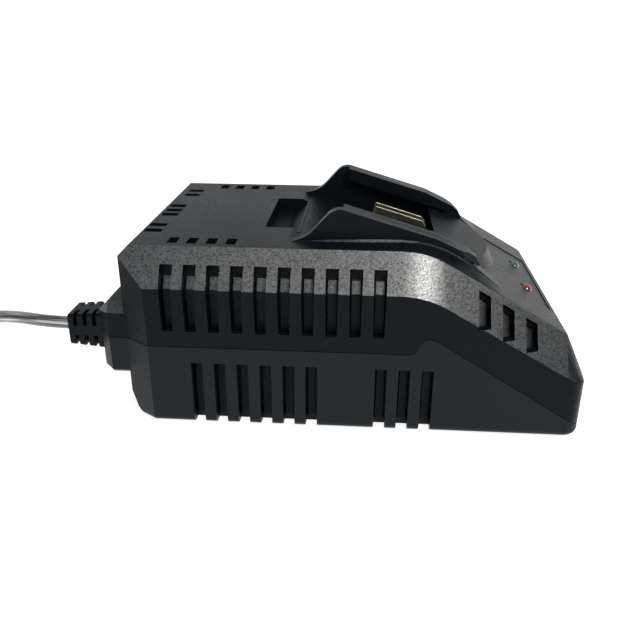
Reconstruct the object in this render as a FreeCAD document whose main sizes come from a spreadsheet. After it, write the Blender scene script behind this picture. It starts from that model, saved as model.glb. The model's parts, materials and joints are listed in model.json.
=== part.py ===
"""Slide-pack battery charger: two-shell housing, sloping dock, contacts, electronics and mains lead.

Millimetres. +X is the nose with the lamps, -X the rear with the mains lead, +Z up.
The origin is on the table under the middle of the charger's body.
"""
import FreeCAD, Part
import math
import os
import Sketcher
from FreeCAD import Placement, Rotation, Vector

os.makedirs("parts", exist_ok=True)
doc = FreeCAD.newDocument("charger")

# Driving dimensions
DIMENSIONS = {
    # Body
    "body_length": 180.0,
    "nose_reach": 95.5,
    "half_width": 61.2,
    "deck_height": 72.7,
    "foot_height": 0.8,
    "wall": 2.5,
    "band_drop": 14.1,
    "band_inset": 9.8,
    "knee_reach": 32.4,
    "knee_tangent": 9.0,
    "panel_reach": 87.9,
    "panel_height": 41.2,
    "nose_bend_height": 25.4,
    "rear_chamfer": 3.7,
    "facet_run": 10.5,
    "facet_side": 7.0,
    "nose_corner": 6.0,
    "bottom_round": 3.0,
    "sweep_height": 11.0,
    "sweep_middle": 4.5,
    "sweep_step": 2.5,
    "sweep_run": 5.6,
    # Parting line
    "parting_height": 34.7,
    "parting_step_reach": 27.0,
    "parting_step_run": 8.0,
    "parting_step_rise": 6.7,
    "parting_nose_height": 5.2,
    "parting_gap": 0.3,
    # Side vents
    "vent_pitch": 9.0,
    "upper_vent_reach": -65.5,
    "upper_vent_width": 5.0,
    "upper_vent_low": 41.4,
    "upper_vent_high": 66.7,
    "lower_vent_reach": -55.1,
    "lower_vent_width": 4.5,
    "lower_vent_high": 28.1,
    "nose_vent_reach": 54.8,
    "nose_vent_pitch": 9.3,
    "nose_vent_width": 4.7,
    # Deck vents
    "rear_vent_reach": -75.5,
    "rear_vent_length": 7.0,
    "rear_vent_width": 4.3,
    "near_vent_reach": -65.1,
    "far_vent_reach": -61.6,
    "edge_vent_pitch": 7.6,
    "edge_vent_width": 3.9,
    "edge_vent_length": 7.2,
    "edge_vent_offset": 44.4,
    # Battery dock
    "dock_start": -19.9,
    "dock_slope": 0.3,
    "dock_half_width": 37.5,
    "dock_end": 38.5,
    "ledge_rise": 12.5,
    "rail_outer": 42.0,
    "rail_top_rise": 18.5,
    "rail_crest_end": 37.0,
    "rail_end": 46.4,
    "rail_end_height": 70.4,
    "rail_nose_end": 54.6,
    "rail_nose_side": 35.0,
    "margin_end": 51.6,
    "shoulder_end": 63.0,
    "lip_inner": 32.5,
    "lip_start": 0.5,
    "lip_thick": 5.0,
    "apron_reach": 62.2,
    "apron_radius": 60.0,
    "apron_side": 34.5,
    "apron_draft": 0.5,
    "latch_start": -32.1,
    "latch_flat": 7.9,
    "latch_end": -18.3,
    "latch_lip": 1.3,
    "latch_half_width": 23.7,
    "latch_depth": 5.5,
    # Front panel
    "recess_start": 66.0,
    "recess_end": 86.0,
    "recess_half_width": 31.0,
    "recess_depth": 0.35,
    "lamp_reach": 78.5,
    "lamp_offset": 14.7,
    "lamp_diameter": 5.0,
    "lamp_gap": 0.1,
    "lamp_tall": 9.3,
    "lamp_sink": -0.8,
    # Cord exit housing and strain relief
    "boss_side": -41.0,
    "boss_half_width": 13.4,
    "boss_low": 19.1,
    "boss_high": 49.3,
    "boss_chamfer": 4.0,
    "boss_foot_chamfer": 1.4,
    "boot_half_wide": 7.8,
    "boot_half_narrow": 6.6,
    "boot_length": 15.0,
    "boot_height": 34.5,
    "boot_collar": 3.0,
    "boot_pitch": 4.0,
    "boot_slot": 1.5,
    "cord_diameter": 5.4,
    # Contacts
    "blade_start": 13.3,
    "blade_end": 35.0,
    "blade_rise": 14.5,
    "blade_thick": 0.9,
    "blade_offset": 3.3,
    "block_start": 11.0,
    "block_end": 37.5,
    "block_half_width": 7.0,
    "block_rise": 5.5,
    "fit_gap": 0.2,
    # Liners behind the vents
    "liner_depth": 4.2,
    "liner_thick": 1.4,
    "upper_bar_width": 3.6,
    "lower_bar_width": 3.2,
    "lower_bar_foot": 4.2,
    "nose_bar_width": 3.3,
    "nose_bar_crest": 7.6,
    # Circuit board
    "board_start": -70.0,
    "board_end": 62.0,
    "board_half_width": 46.0,
    "board_height": 12.0,
    "board_thick": 1.6,
    # Fasteners and feet
    "post_rear": -75.5,
    "post_front": 74.0,
    "post_offset": 45.0,
    "post_radius": 4.0,
    "screw_radius": 1.4,
    "screw_head_radius": 2.8,
    "screw_head_height": 2.2,
    "screw_bite": 9.0,
    "screw_recess": 6.0,
    "foot_reach_rear": -62.0,
    "foot_reach_front": 60.0,
    "foot_offset": 46.5,
    "foot_radius": 6.0,
    # Lead put away beside the charger
    "coil_reach": -236.0,
    "coil_side": -71.4,
    "coil_radius": 34.4,
    "coil_pitch": 5.9,
    "coil_lift": 0.9,
    "coil_tail": 6.0,
    "tie_width": 8.0,
    "tie_thick": 0.8,
    "tie_room": 0.5,
    # Mains plug
    "plug_reach": -175.0,
    "plug_neck": 11.0,
    "plug_length": 26.0,
    "plug_half_wide": 12.0,
    "plug_half_high": 8.0,
    "pin_length": 16.5,
    "pin_wide": 6.3,
    "pin_thick": 1.5,
    "pin_offset": 6.35,
    # Wires and small board inside
    "wire_diameter": 2.2,
    "lamp_board_long": 13.0,
    "lamp_board_half_width": 20.0,
    "standoff_radius": 3.0,
    "standoff_rear": -52.0,
    "standoff_front": 50.0,
    "standoff_offset": 40.0,
}

# Parts on the circuit board: middle along, middle across, length, width, height
BOARD_PARTS = {
    "transformer": (8.0, 6.0, 36.0, 34.0, 32.0),
    "input_capacitor": (-42.0, 24.0, 22.0, 22.0, 30.0),
    "output_capacitor_near": (40.0, -24.0, 12.5, 12.5, 22.0),
    "output_capacitor_far": (40.0, -8.0, 12.5, 12.5, 22.0),
    "line_choke": (-46.0, -18.0, 20.0, 16.0, 20.0),
    "film_capacitor": (-24.0, -32.0, 18.0, 9.0, 15.0),
    "primary_heat_sink": (-24.0, 8.0, 2.0, 36.0, 28.0),
    "secondary_heat_sink": (36.0, 24.0, 2.0, 30.0, 24.0),
    "switching_transistor": (-20.4, 8.0, 4.6, 10.2, 16.0),
    "output_rectifier": (32.4, 24.0, 4.6, 10.2, 16.0),
    "bridge_rectifier": (-60.0, 6.0, 6.0, 18.0, 14.0),
    "fuse": (-60.0, -30.0, 5.2, 20.0, 5.2),
    "surge_absorber": (-34.0, -38.0, 12.0, 4.0, 14.0),
    "control_chip": (52.0, 4.0, 10.0, 5.3, 2.0),
    "isolator_chip": (20.0, -28.0, 9.0, 6.4, 3.6),
    "relay": (2.0, -32.0, 19.0, 15.0, 15.0),
    "output_connector": (54.0, 22.0, 6.0, 18.0, 9.0),
}

sheet = doc.addObject("Spreadsheet::Sheet", "Dims")
PART_SIZES = ("reach", "side", "long", "wide", "tall")
for part, amounts in BOARD_PARTS.items():
    for word, amount in zip(PART_SIZES, amounts):
        DIMENSIONS[f"{part}_{word}"] = amount
for row, (alias, amount) in enumerate(DIMENSIONS.items(), start=1):
    sheet.set(f"A{row}", alias.replace("_", " "))
    sheet.set(f"B{row}", str(amount))
    sheet.setAlias(f"B{row}", alias)
doc.recompute()


class Size:
    """A number kept beside the sheet expression that gives it."""

    def __init__(self, number, text=None):
        self.number = float(number)
        self.text = text if text is not None else repr(float(number))

    def __add__(self, other):
        other = as_size(other)
        return Size(self.number + other.number, f"({self.text} + {other.text})")

    def __sub__(self, other):
        other = as_size(other)
        return Size(self.number - other.number, f"({self.text} - {other.text})")

    def __mul__(self, other):
        other = as_size(other)
        return Size(self.number * other.number, f"({self.text} * {other.text})")

    def __truediv__(self, other):
        other = as_size(other)
        return Size(self.number / other.number, f"({self.text} / {other.text})")

    def __neg__(self):
        return Size(-self.number, f"(0 - {self.text})")

    __radd__ = __add__
    __rmul__ = __mul__

    def __rsub__(self, other):
        return as_size(other) - self

    def __rtruediv__(self, other):
        return as_size(other) / self

    def root(self):
        """Square root."""
        return Size(math.sqrt(self.number), f"sqrt({self.text})")


def as_size(value):
    """A Size, from a Size or a plain number."""
    return value if isinstance(value, Size) else Size(value)


def cell(alias):
    """The Size held in one cell of the sheet."""
    return Size(sheet.get(alias), f"Dims.{alias}")


def bind(item, path, value):
    """Bind one property of a document object to a Size."""
    item.setExpression(path, as_size(value).text)


def new_body(label):
    """An empty PartDesign body with its own label."""
    body = doc.addObject("PartDesign::Body", label)
    body.Label = label
    return body


def origin_plane(body, role):
    """One of the body's own origin planes, such as XY_Plane."""
    return next(item for item in body.Origin.OriginFeatures if item.Role == role)


def place_sketch(body, name, role, offset):
    """A sketch on an origin plane, moved along the plane's normal by offset."""
    item = body.newObject("Sketcher::SketchObject", name)
    item.AttachmentSupport = [(origin_plane(body, role), "")]
    item.MapMode = "FlatFace"
    offset = as_size(offset)
    item.AttachmentOffset = Placement(Vector(0, 0, offset.number), Rotation())
    item.setExpression("AttachmentOffset.Base.z", offset.text)
    return item


def arc_between(start, end, radius):
    """Centre and angles of an arc; a positive radius bulges to the right of start to end."""
    chord = Vector(end[0] - start[0], end[1] - start[1], 0)
    middle = Vector((start[0] + end[0]) / 2, (start[1] + end[1]) / 2, 0)
    reach = math.sqrt(max(radius ** 2 - (chord.Length / 2) ** 2, 0.0))
    left = Vector(-chord.y, chord.x, 0).normalize()
    centre = middle + left * (reach if radius > 0 else -reach)
    first = math.atan2(start[1] - centre.y, start[0] - centre.x)
    last = math.atan2(end[1] - centre.y, end[0] - centre.x)
    return (centre, first, last) if radius > 0 else (centre, last, first)


def draw_outline(item, points):
    """A closed outline in a sketch: (across, up) corners, with a third value where an arc follows.

    The third value is the arc's signed radius. Every corner is dimensioned from the sketch's
    origin and each arc has its radius, all bound to the sheet.
    """
    corners = [(as_size(point[0]), as_size(point[1])) for point in points]
    ends = []
    for index, point in enumerate(points):
        start = [value.number for value in corners[index]]
        end = [value.number for value in corners[(index + 1) % len(points)]]
        if len(point) == 3:
            radius = as_size(point[2])
            centre, first, last = arc_between(start, end, radius.number)
            circle = Part.Circle(centre, Vector(0, 0, 1), abs(radius.number))
            edge = item.addGeometry(Part.ArcOfCircle(circle, first, last), False)
            ends.append((edge, 1, 2) if radius.number > 0 else (edge, 2, 1))
            bound = radius if radius.number > 0 else -radius
            mark = item.addConstraint(Sketcher.Constraint("Radius", edge, bound.number))
            item.setExpression(f"Constraints[{mark}]", bound.text)
        else:
            segment = Part.LineSegment(Vector(start[0], start[1], 0), Vector(end[0], end[1], 0))
            edge = item.addGeometry(segment, False)
            ends.append((edge, 1, 2))
    for index, (edge, first, last) in enumerate(ends):
        following = ends[(index + 1) % len(ends)]
        item.addConstraint(Sketcher.Constraint("Coincident", edge, last, following[0], following[1]))
        for kind, value in zip(("DistanceX", "DistanceY"), corners[index]):
            mark = item.addConstraint(Sketcher.Constraint(kind, -1, 1, edge, first, value.number))
            item.setExpression(f"Constraints[{mark}]", value.text)


def outline_sketch(body, name, role, offset, *outlines):
    """A sketch that holds one or more closed outlines."""
    item = place_sketch(body, name, role, offset)
    for points in outlines:
        draw_outline(item, points)
    return item


def circle_sketch(body, name, role, offset, circles):
    """A sketch of circles, each given as (across, up, radius)."""
    item = place_sketch(body, name, role, offset)
    for across, up, radius in circles:
        across, up, radius = as_size(across), as_size(up), as_size(radius)
        shape = Part.Circle(Vector(across.number, up.number, 0), Vector(0, 0, 1), radius.number)
        ring = item.addGeometry(shape, False)
        for kind, value in (("DistanceX", across), ("DistanceY", up)):
            mark = item.addConstraint(Sketcher.Constraint(kind, -1, 1, ring, 3, value.number))
            item.setExpression(f"Constraints[{mark}]", value.text)
        mark = item.addConstraint(Sketcher.Constraint("Radius", ring, radius.number))
        item.setExpression(f"Constraints[{mark}]", radius.text)
    return item


def extrude(body, kind, name, sketch, length, midplane=False, backward=False):
    """A Pad or a Pocket of a sketch by a bound length."""
    item = body.newObject(f"PartDesign::{kind}", name)
    item.Profile = sketch
    item.Type = 0
    length = as_size(length)
    item.Length = length.number
    item.setExpression("Length", length.text)
    item.Midplane = midplane
    item.Reversed = backward
    return item


def pad(body, name, sketch, length, **choices):
    """Material added along the sketch's normal."""
    return extrude(body, "Pad", name, sketch, length, **choices)


def pocket(body, name, sketch, length, **choices):
    """Material removed against the sketch's normal, or along it when backward."""
    return extrude(body, "Pocket", name, sketch, length, **choices)


def ruled_loft(body, kind, name, sections):
    """A straight-sided loft through sections, added or removed."""
    item = body.newObject(f"PartDesign::{kind}", name)
    item.Profile = sections[0]
    item.Sections = sections[1:]
    item.Ruled = True
    item.Closed = False
    return item


def pattern(body, name, feature, role, length, count):
    """Equal copies of a feature along one of the body's axes."""
    item = body.newObject("PartDesign::LinearPattern", name)
    item.Originals = [feature]
    axis = next(entry for entry in body.Origin.OriginFeatures if entry.Role == role)
    item.Direction = (axis, [""])
    length = as_size(length)
    item.Length = length.number
    item.setExpression("Length", length.text)
    item.Occurrences = count
    body.Tip = item
    return item


# Named places on the body
REAR = cell("nose_reach") - cell("body_length")
NOSE = cell("nose_reach")
SIDE = cell("half_width")
DECK_SIDE = cell("half_width") - cell("band_inset")
DECK = cell("deck_height")
FLOOR = cell("foot_height")
WALL = cell("wall")
PANEL_SLOPE = (DECK - cell("panel_height")) / (cell("panel_reach") - cell("knee_reach"))
SLOPE_LENGTH = (PANEL_SLOPE * PANEL_SLOPE + 1).root()
KNEE_RADIUS = cell("knee_tangent") * PANEL_SLOPE / (SLOPE_LENGTH - 1)
PARTING = cell("parting_height")
BIG = 400.0


def body_section(drop, inset, floor, bent):
    """Corners of the body's side outline, lowered by drop and drawn in by inset.

    Args: drop is how far the deck line sits below the deck, inset is the wall thickness, floor
    is the height of the lowest edge, and bent says whether the panel bends down near the nose.
    """
    tangent = cell("knee_tangent")
    high = DECK - drop - inset
    knee = cell("knee_reach") - inset * 0.27
    radius = KNEE_RADIUS - inset
    reach = radius * (SLOPE_LENGTH - 1) / PANEL_SLOPE
    fall = PANEL_SLOPE / SLOPE_LENGTH
    run = 1 / SLOPE_LENGTH
    panel_x = cell("panel_reach") - inset * 0.6
    straight = high - (NOSE - inset - knee) * PANEL_SLOPE
    nose_height = cell("nose_bend_height") - inset * 0.4 if bent else straight
    return [
        (REAR + inset, floor),
        (NOSE - inset, floor),
        (NOSE - inset, nose_height),
        (panel_x, high - (panel_x - knee) * PANEL_SLOPE),
        (knee + reach * run, high - reach * fall, radius),
        (knee - reach, high),
        (REAR + inset, high),
    ]


def body_loft(body, kind, name, inset, floor):
    """The body's whole outer form, or the same form drawn in by inset."""
    sections = []
    outer = SIDE - inset
    inner = DECK_SIDE - inset * 0.5
    for tag, place, drop in (
        ("far_wall", -outer, cell("band_drop")),
        ("far_deck", -inner, as_size(0)),
        ("near_deck", inner, as_size(0)),
        ("near_wall", outer, cell("band_drop")),
    ):
        bent = drop.number == 0
        points = body_section(drop, as_size(inset), as_size(floor), bent)
        sections.append(outline_sketch(body, f"{name}_{tag}", "XZ_Plane", place, points))
    return ruled_loft(body, kind, name, sections)


def trim_corners(body, name, inset):
    """Rear top chamfer, rear corner facets and round nose corners of the outer form."""
    chamfer = cell("rear_chamfer")
    wedge = [
        (REAR - 1, DECK + 1),
        (REAR - 1, DECK - chamfer - 1),
        (REAR + chamfer + 1, DECK + 1),
    ]
    sketch = outline_sketch(body, f"{name}_chamfer_outline", "XZ_Plane", 0, wedge)
    pocket(body, f"{name}_chamfer", sketch, BIG, midplane=True)
    facets = []
    corners = []
    radius = cell("nose_corner")
    for side in (-1, 1):
        run = cell("facet_run")
        rise = cell("facet_side")
        facets.append([
            (REAR - 1, side * (SIDE - rise - rise / run)),
            (REAR - 1, side * (SIDE + 1)),
            (REAR + run + run / rise, side * (SIDE + 1)),
        ])
        corners.append([
            (NOSE - radius, side * SIDE, radius * -side),
            (NOSE, side * (SIDE - radius)),
            (NOSE + 1, side * (SIDE - radius)),
            (NOSE + 1, side * (SIDE + 1)),
            (NOSE - radius, side * (SIDE + 1)),
        ])
    sketch = outline_sketch(body, f"{name}_facet_outline", "XY_Plane", 0, *facets)
    pocket(body, f"{name}_facets", sketch, BIG, midplane=True)
    sketch = outline_sketch(body, f"{name}_corner_outline", "XY_Plane", 0, *corners)
    pocket(body, f"{name}_corners", sketch, BIG, midplane=True)


def sweep_rear(body, name, inset):
    """Cut the rear wall's foot back in two slopes, drawn in by inset."""
    inset = as_size(inset)
    low = FLOOR + inset - 0.01
    outline = [
        (REAR - 1, cell("sweep_height") + inset * 0.3),
        (REAR + inset, cell("sweep_height") + inset * 0.3),
        (REAR + cell("sweep_step") + inset, cell("sweep_middle") + inset * 0.5),
        (REAR + cell("sweep_run") + inset, low),
        (REAR + cell("sweep_run") + inset, low - 6),
        (REAR - 1, low - 6),
    ]
    sketch = outline_sketch(body, f"{name}_outline", "XZ_Plane", 0, outline)
    pocket(body, name, sketch, BIG, midplane=True)


def on_floor(edge):
    """Whether an edge lies all along the shells' lowest plane."""
    return edge.BoundBox.ZMax < FLOOR.number + 0.01


def round_edges(body, name, radius, chosen):
    """A fillet on the edges of the body's last feature that a test chooses."""
    doc.recompute()
    base = body.Tip
    edges = [
        f"Edge{index}" for index, edge in enumerate(base.Shape.Edges, start=1) if chosen(edge)
    ]
    item = body.newObject("PartDesign::Fillet", name)
    item.Base = (base, edges)
    item.Radius = radius.number
    item.setExpression("Radius", radius.text)
    doc.recompute()
    return item


def parting_line(gap):
    """Corners of the line where the two shells meet, from rear to nose, moved up by gap."""
    start = cell("parting_step_reach")
    run = cell("parting_step_run")
    rise = cell("parting_step_rise")
    top = PARTING + rise
    bend = (run * run + rise * rise) / rise / 4
    crest = start + run + 3
    return [
        (REAR - 40, PARTING + gap),
        (start, PARTING + gap, bend),
        (start + run / 2, PARTING + gap + rise / 2, -bend),
        (start + run, top + gap),
        (crest, top + gap - 1),
        (NOSE + 5, cell("parting_nose_height") + gap - 3),
    ]


def keep_above(body, name, gap):
    """Cut away what lies under the parting line."""
    points = parting_line(as_size(gap))
    points += [(NOSE + 5, -20), (REAR - 40, -20)]
    sketch = outline_sketch(body, f"{name}_outline", "XZ_Plane", 0, points)
    pocket(body, name, sketch, BIG, midplane=True)


def keep_below(body, name):
    """Cut away what lies over the parting line."""
    points = parting_line(as_size(0))
    points += [(NOSE + 5, 120), (REAR - 40, 120)]
    sketch = outline_sketch(body, f"{name}_outline", "XZ_Plane", 0, points)
    pocket(body, name, sketch, BIG, midplane=True)


def subtract(body, name, tool):
    """Another body taken out of this one."""
    item = body.newObject("PartDesign::Boolean", name)
    item.Type = "Cut"
    item.setObjects([tool])
    return item


def cavity(name, floor):
    """The space inside the shells: the outer form drawn in by the wall thickness."""
    body = new_body(name)
    wall = DIMENSIONS["wall"]
    body_loft(body, "AdditiveLoft", name, WALL, floor)
    corner = cell("nose_corner") - wall
    facets = []
    corners = []
    run = cell("facet_run")
    rise = cell("facet_side")
    for side in (-1, 1):
        facets.append([
            (REAR, side * (SIDE - rise - WALL * 1.5)),
            (REAR, side * (SIDE + 1)),
            (REAR + run + WALL * 1.5 + run / rise, side * (SIDE + 1)),
        ])
        corners.append([
            (NOSE - WALL - corner, side * (SIDE - WALL), corner * -side),
            (NOSE - WALL, side * (SIDE - WALL - corner)),
            (NOSE + 1, side * (SIDE - WALL - corner)),
            (NOSE + 1, side * (SIDE + 1)),
            (NOSE - WALL - corner, side * (SIDE + 1)),
        ])
    sketch = outline_sketch(body, f"{name}_facet_outline", "XY_Plane", 0, *facets)
    pocket(body, f"{name}_facets", sketch, BIG, midplane=True)
    sketch = outline_sketch(body, f"{name}_corner_outline", "XY_Plane", 0, *corners)
    pocket(body, f"{name}_corners", sketch, BIG, midplane=True)
    sweep_rear(body, f"{name}_rear_sweep", WALL)
    return body


def octagon(low, high, left, right, cut, foot=None):
    """A rectangle with cut corners, as (across, up) points; foot is the lower corners' own cut."""
    foot = cut if foot is None else foot
    return [
        (left + foot, low),
        (right - foot, low),
        (right, low + foot),
        (right, high - cut),
        (right - cut, high),
        (left + cut, high),
        (left, high - cut),
        (left, low + foot),
    ]


BOSS_FACE = -NOSE
BOSS_LEFT = cell("boss_side") - cell("boss_half_width")
BOSS_RIGHT = cell("boss_side") + cell("boss_half_width")


def add_boss(body, name):
    """The chamfered housing that holds the lead's strain relief."""
    chamfer = cell("boss_chamfer")
    low = cell("boss_low")
    high = cell("boss_high")
    foot = cell("boss_foot_chamfer")
    full = octagon(low, high, BOSS_LEFT, BOSS_RIGHT, chamfer, foot)
    small = octagon(
        low + foot, high - chamfer, BOSS_LEFT + chamfer, BOSS_RIGHT - chamfer, as_size(0.6)
    )
    sections = [
        outline_sketch(body, f"{name}_face", "YZ_Plane", BOSS_FACE, small),
        outline_sketch(body, f"{name}_shoulder", "YZ_Plane", BOSS_FACE + chamfer, full),
        outline_sketch(body, f"{name}_root", "YZ_Plane", REAR + WALL, full),
    ]
    return ruled_loft(body, "AdditiveLoft", name, sections)


def hollow_boss(body, name):
    """Room for the strain relief's collar, and the square way out for its tail."""
    inner = rectangle(
        BOSS_LEFT + WALL, BOSS_RIGHT - WALL, cell("boss_low") + WALL, cell("boss_high") - WALL
    )
    start = BOSS_FACE + cell("boss_chamfer")
    sketch = outline_sketch(body, f"{name}_room_outline", "YZ_Plane", start, inner)
    pocket(body, f"{name}_room", sketch, REAR + WALL - start + 1, backward=True)
    half = cell("boot_half_wide") + 0.2
    side = cell("boss_side")
    tall = cell("boot_height")
    window = rectangle(side - half, side + half, tall - half, tall + half)
    sketch = outline_sketch(body, f"{name}_window_outline", "YZ_Plane", BOSS_FACE - 1, window)
    pocket(body, f"{name}_window", sketch, cell("boss_chamfer") + 2, backward=True)


def rectangle(left, right, low, high):
    """Corners of an upright rectangle."""
    return [(left, low), (right, low), (right, high), (left, high)]


def dock_floor(reach, rise=0):
    """Height of the dock's sloping floor at a place along the charger, plus a rise."""
    return DECK - (as_size(reach) - cell("dock_start")) * cell("dock_slope") + rise


def panel_line(reach):
    """Height of the front panel's plane at a place along the charger."""
    return DECK - (as_size(reach) - cell("knee_reach")) * PANEL_SLOPE


def side_sketch(body, name, place, points):
    """An outline in a plane across the charger, at a place counted towards the near side."""
    return outline_sketch(body, name, "XZ_Plane", place, points)


def both_sides(body, kind, name, inner, outer, points):
    """The same outline added or removed between two distances from the middle, on both sides."""
    near = side_sketch(body, f"{name}_near_outline", inner, points)
    extrude(body, kind, f"{name}_near", near, outer - inner, backward=kind == "Pocket")
    far = side_sketch(body, f"{name}_far_outline", -outer, points)
    extrude(body, kind, f"{name}_far", far, outer - inner, backward=kind == "Pocket")


# Upper shell
top_shell = new_body("top_shell")
body_loft(top_shell, "AdditiveLoft", "top_form", 0, FLOOR)
trim_corners(top_shell, "top", 0)

# Apron: the raised platform in front of the dock, with a curved front edge
LEDGE = cell("ledge_rise")
SLOPE = cell("dock_slope")
APRON_START = (dock_floor(0, LEDGE) - panel_line(0)) / (SLOPE - PANEL_SLOPE)
APRON_LOW = cell("panel_height") + 7
APRON_HIGH = APRON_LOW + 18
apron_plans = []
for height in (APRON_LOW, APRON_HIGH):
    spread = (dock_floor(cell("apron_reach"), LEDGE) - height) * cell("apron_draft")
    side = cell("apron_side") + spread
    reach = cell("apron_reach") + spread
    radius = cell("apron_radius")
    back = radius - (radius * radius - side * side).root()
    plan = [
        (APRON_START, -side),
        (reach - back, -side, radius),
        (reach - back, side),
        (APRON_START, side),
    ]
    apron_plans.append(
        outline_sketch(top_shell, f"apron_plan_{len(apron_plans) + 1}", "XY_Plane", height, plan)
    )
ruled_loft(top_shell, "AdditiveLoft", "apron", apron_plans)
above_apron = [
    (APRON_START, dock_floor(APRON_START, LEDGE)),
    (cell("apron_reach") + 5, dock_floor(cell("apron_reach") + 5, LEDGE)),
    (cell("apron_reach") + 5, DECK + 20),
    (APRON_START, DECK + 20),
]
sketch = side_sketch(top_shell, "above_apron", 0, above_apron)
pocket(top_shell, "apron_top", sketch, BIG, midplane=True)
add_boss(top_shell, "top_boss")
subtract(top_shell, "top_hollow", cavity("top_cavity", -30))

# Dock tray: walls and floor that carry the battery's channel inside the shell
start = cell("dock_start")
end = cell("dock_end")
half = cell("dock_half_width")
tray = [
    (start - 6, DECK - 1),
    (start - 6, dock_floor(start, -WALL)),
    (start, dock_floor(start, -WALL)),
    (end + WALL, dock_floor(end + WALL, -WALL)),
    (end + WALL, panel_line(end + WALL) - 1),
    (cell("knee_reach") - 12, DECK - 1),
]
sketch = side_sketch(top_shell, "tray_outline", 0, tray)
pad(top_shell, "tray", sketch, (half + WALL) * 2, midplane=True)

# Rails: two walls beside the channel, with a swept rise at the rear
rail_rise = cell("rail_top_rise")
rail_end = cell("rail_end")
rail = [
    (start - 1, DECK - 1.5),
    (rail_end + 1, panel_line(rail_end + 1) - 1.5),
    (rail_end + 1, cell("rail_end_height") - 1.2),
    (rail_end, cell("rail_end_height")),
    (cell("rail_crest_end"), dock_floor(cell("rail_crest_end"), rail_rise) + 0.6),
    (start + 20.5, dock_floor(start + 20.5, rail_rise) + 0.4, 6.5),
    (start + 14.5, DECK + 10.5),
    (start + 9.5, DECK + 5.0, -14),
    (start, DECK),
]
both_sides(top_shell, "Pad", "rail", half, cell("rail_outer"), rail)

# Battery channel between the rails, and the ledge in front of it
channel = [
    (start - 0.8, DECK),
    (cell("latch_end"), DECK - cell("latch_lip")),
    (start + 4.4, dock_floor(start + 4.4)),
    (end, dock_floor(end)),
    (end, dock_floor(end, LEDGE)),
    (cell("apron_reach") + 6, dock_floor(cell("apron_reach") + 6, LEDGE)),
    (cell("apron_reach") + 6, DECK + 30),
    (start - 0.8, DECK + 30),
]
sketch = side_sketch(top_shell, "channel_outline", 0, channel)
pocket(top_shell, "channel", sketch, half * 2, midplane=True)

# Rail lips that hold the battery down
lip_base = rail_rise - cell("lip_thick")
lip = [
    (cell("lip_start"), dock_floor(cell("lip_start"), lip_base)),
    (rail_end, dock_floor(rail_end, lip_base)),
    (rail_end, cell("rail_end_height")),
    (cell("rail_crest_end"), dock_floor(cell("rail_crest_end"), rail_rise) + 0.6),
    (cell("lip_start"), dock_floor(cell("lip_start"), rail_rise) + 0.4),
]
both_sides(top_shell, "Pad", "lip", cell("lip_inner"), half, lip)

# Rail noses: the rails' inner part runs on past the outer face, cut back at an angle, and dips
nose_end = cell("rail_nose_end")
NOSE_PAD_LOW = 57.0
NOSE_PAD_TALL = 15.0
nose_plans = [
    [
        (rail_end, cell("lip_inner") * side),
        (nose_end, cell("lip_inner") * side),
        (nose_end, cell("rail_nose_side") * side),
        (rail_end, cell("rail_outer") * side),
    ]
    for side in (-1, 1)
]
sketch = outline_sketch(top_shell, "rail_nose_plans", "XY_Plane", NOSE_PAD_LOW, *nose_plans)
pad(top_shell, "rail_noses", sketch, NOSE_PAD_TALL)
above_nose = [
    (rail_end, cell("rail_end_height")),
    (rail_end + 3.6, cell("rail_end_height") - 1.7),
    (rail_end + 6.6, cell("rail_end_height") - 4.2),
    (nose_end + 0.1, cell("rail_end_height") - 7.3),
    (nose_end + 0.1, cell("rail_end_height") + 3),
    (rail_end, cell("rail_end_height") + 3),
]
both_sides(
    top_shell, "Pocket", "rail_nose_top", cell("lip_inner") - 0.1, cell("rail_outer") + 0.1, above_nose
)

# Margins beside the rails: they rise towards the nose, with a hollow curve up to the rail's foot,
# and end in a shoulder that closes the notch in front of the rail
MARGIN_OUTER = DECK_SIDE - 0.5
MARGIN_FOOT = cell("rail_outer") + 2.3
MARGIN_CURVE = cell("rail_outer") + 1.0
MARGIN_TOP = cell("rail_outer") + 0.3
MARGIN_SUNK = 0.9
MARGIN_RISES = (
    (-19.0, 0.03, 0.15),
    (-4.8, 0.06, 1.0),
    (11.6, 0.12, 1.6),
    (23.4, 0.50, 1.7),
    (29.5, 0.90, 1.8),
    (35.0, 1.20, 2.1),
    (40.3, 1.60, 2.7),
    (46.0, 1.90, 3.1),
    (51.6, 2.00, 2.9),
)


def deck_line(reach):
    """Height of the deck, its bend or the panel at a place along the charger."""
    tangent = cell("knee_tangent")
    run = as_size(reach) - cell("knee_reach") + tangent
    if run.number <= 0:
        return DECK
    if run.number < tangent.number * (1 + 1 / SLOPE_LENGTH.number):
        return DECK - KNEE_RADIUS + (KNEE_RADIUS * KNEE_RADIUS - run * run).root()
    return panel_line(reach)


def margin_section(name, side, reach, foot, crest, inner):
    """One cross section of a margin: its surface from the rail outwards, and a base below."""
    base = deck_line(reach)
    points = [
        (inner * side, base - MARGIN_SUNK),
        (MARGIN_OUTER * side, base - MARGIN_SUNK),
        (MARGIN_OUTER * side, base + 0.02),
        (MARGIN_FOOT * side, base + foot),
        (MARGIN_CURVE * side, base + foot + (crest - foot) * 0.4),
        (MARGIN_TOP * side, base + crest),
        (inner * side, base + crest),
    ]
    return outline_sketch(top_shell, name, "YZ_Plane", reach, points)


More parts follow.
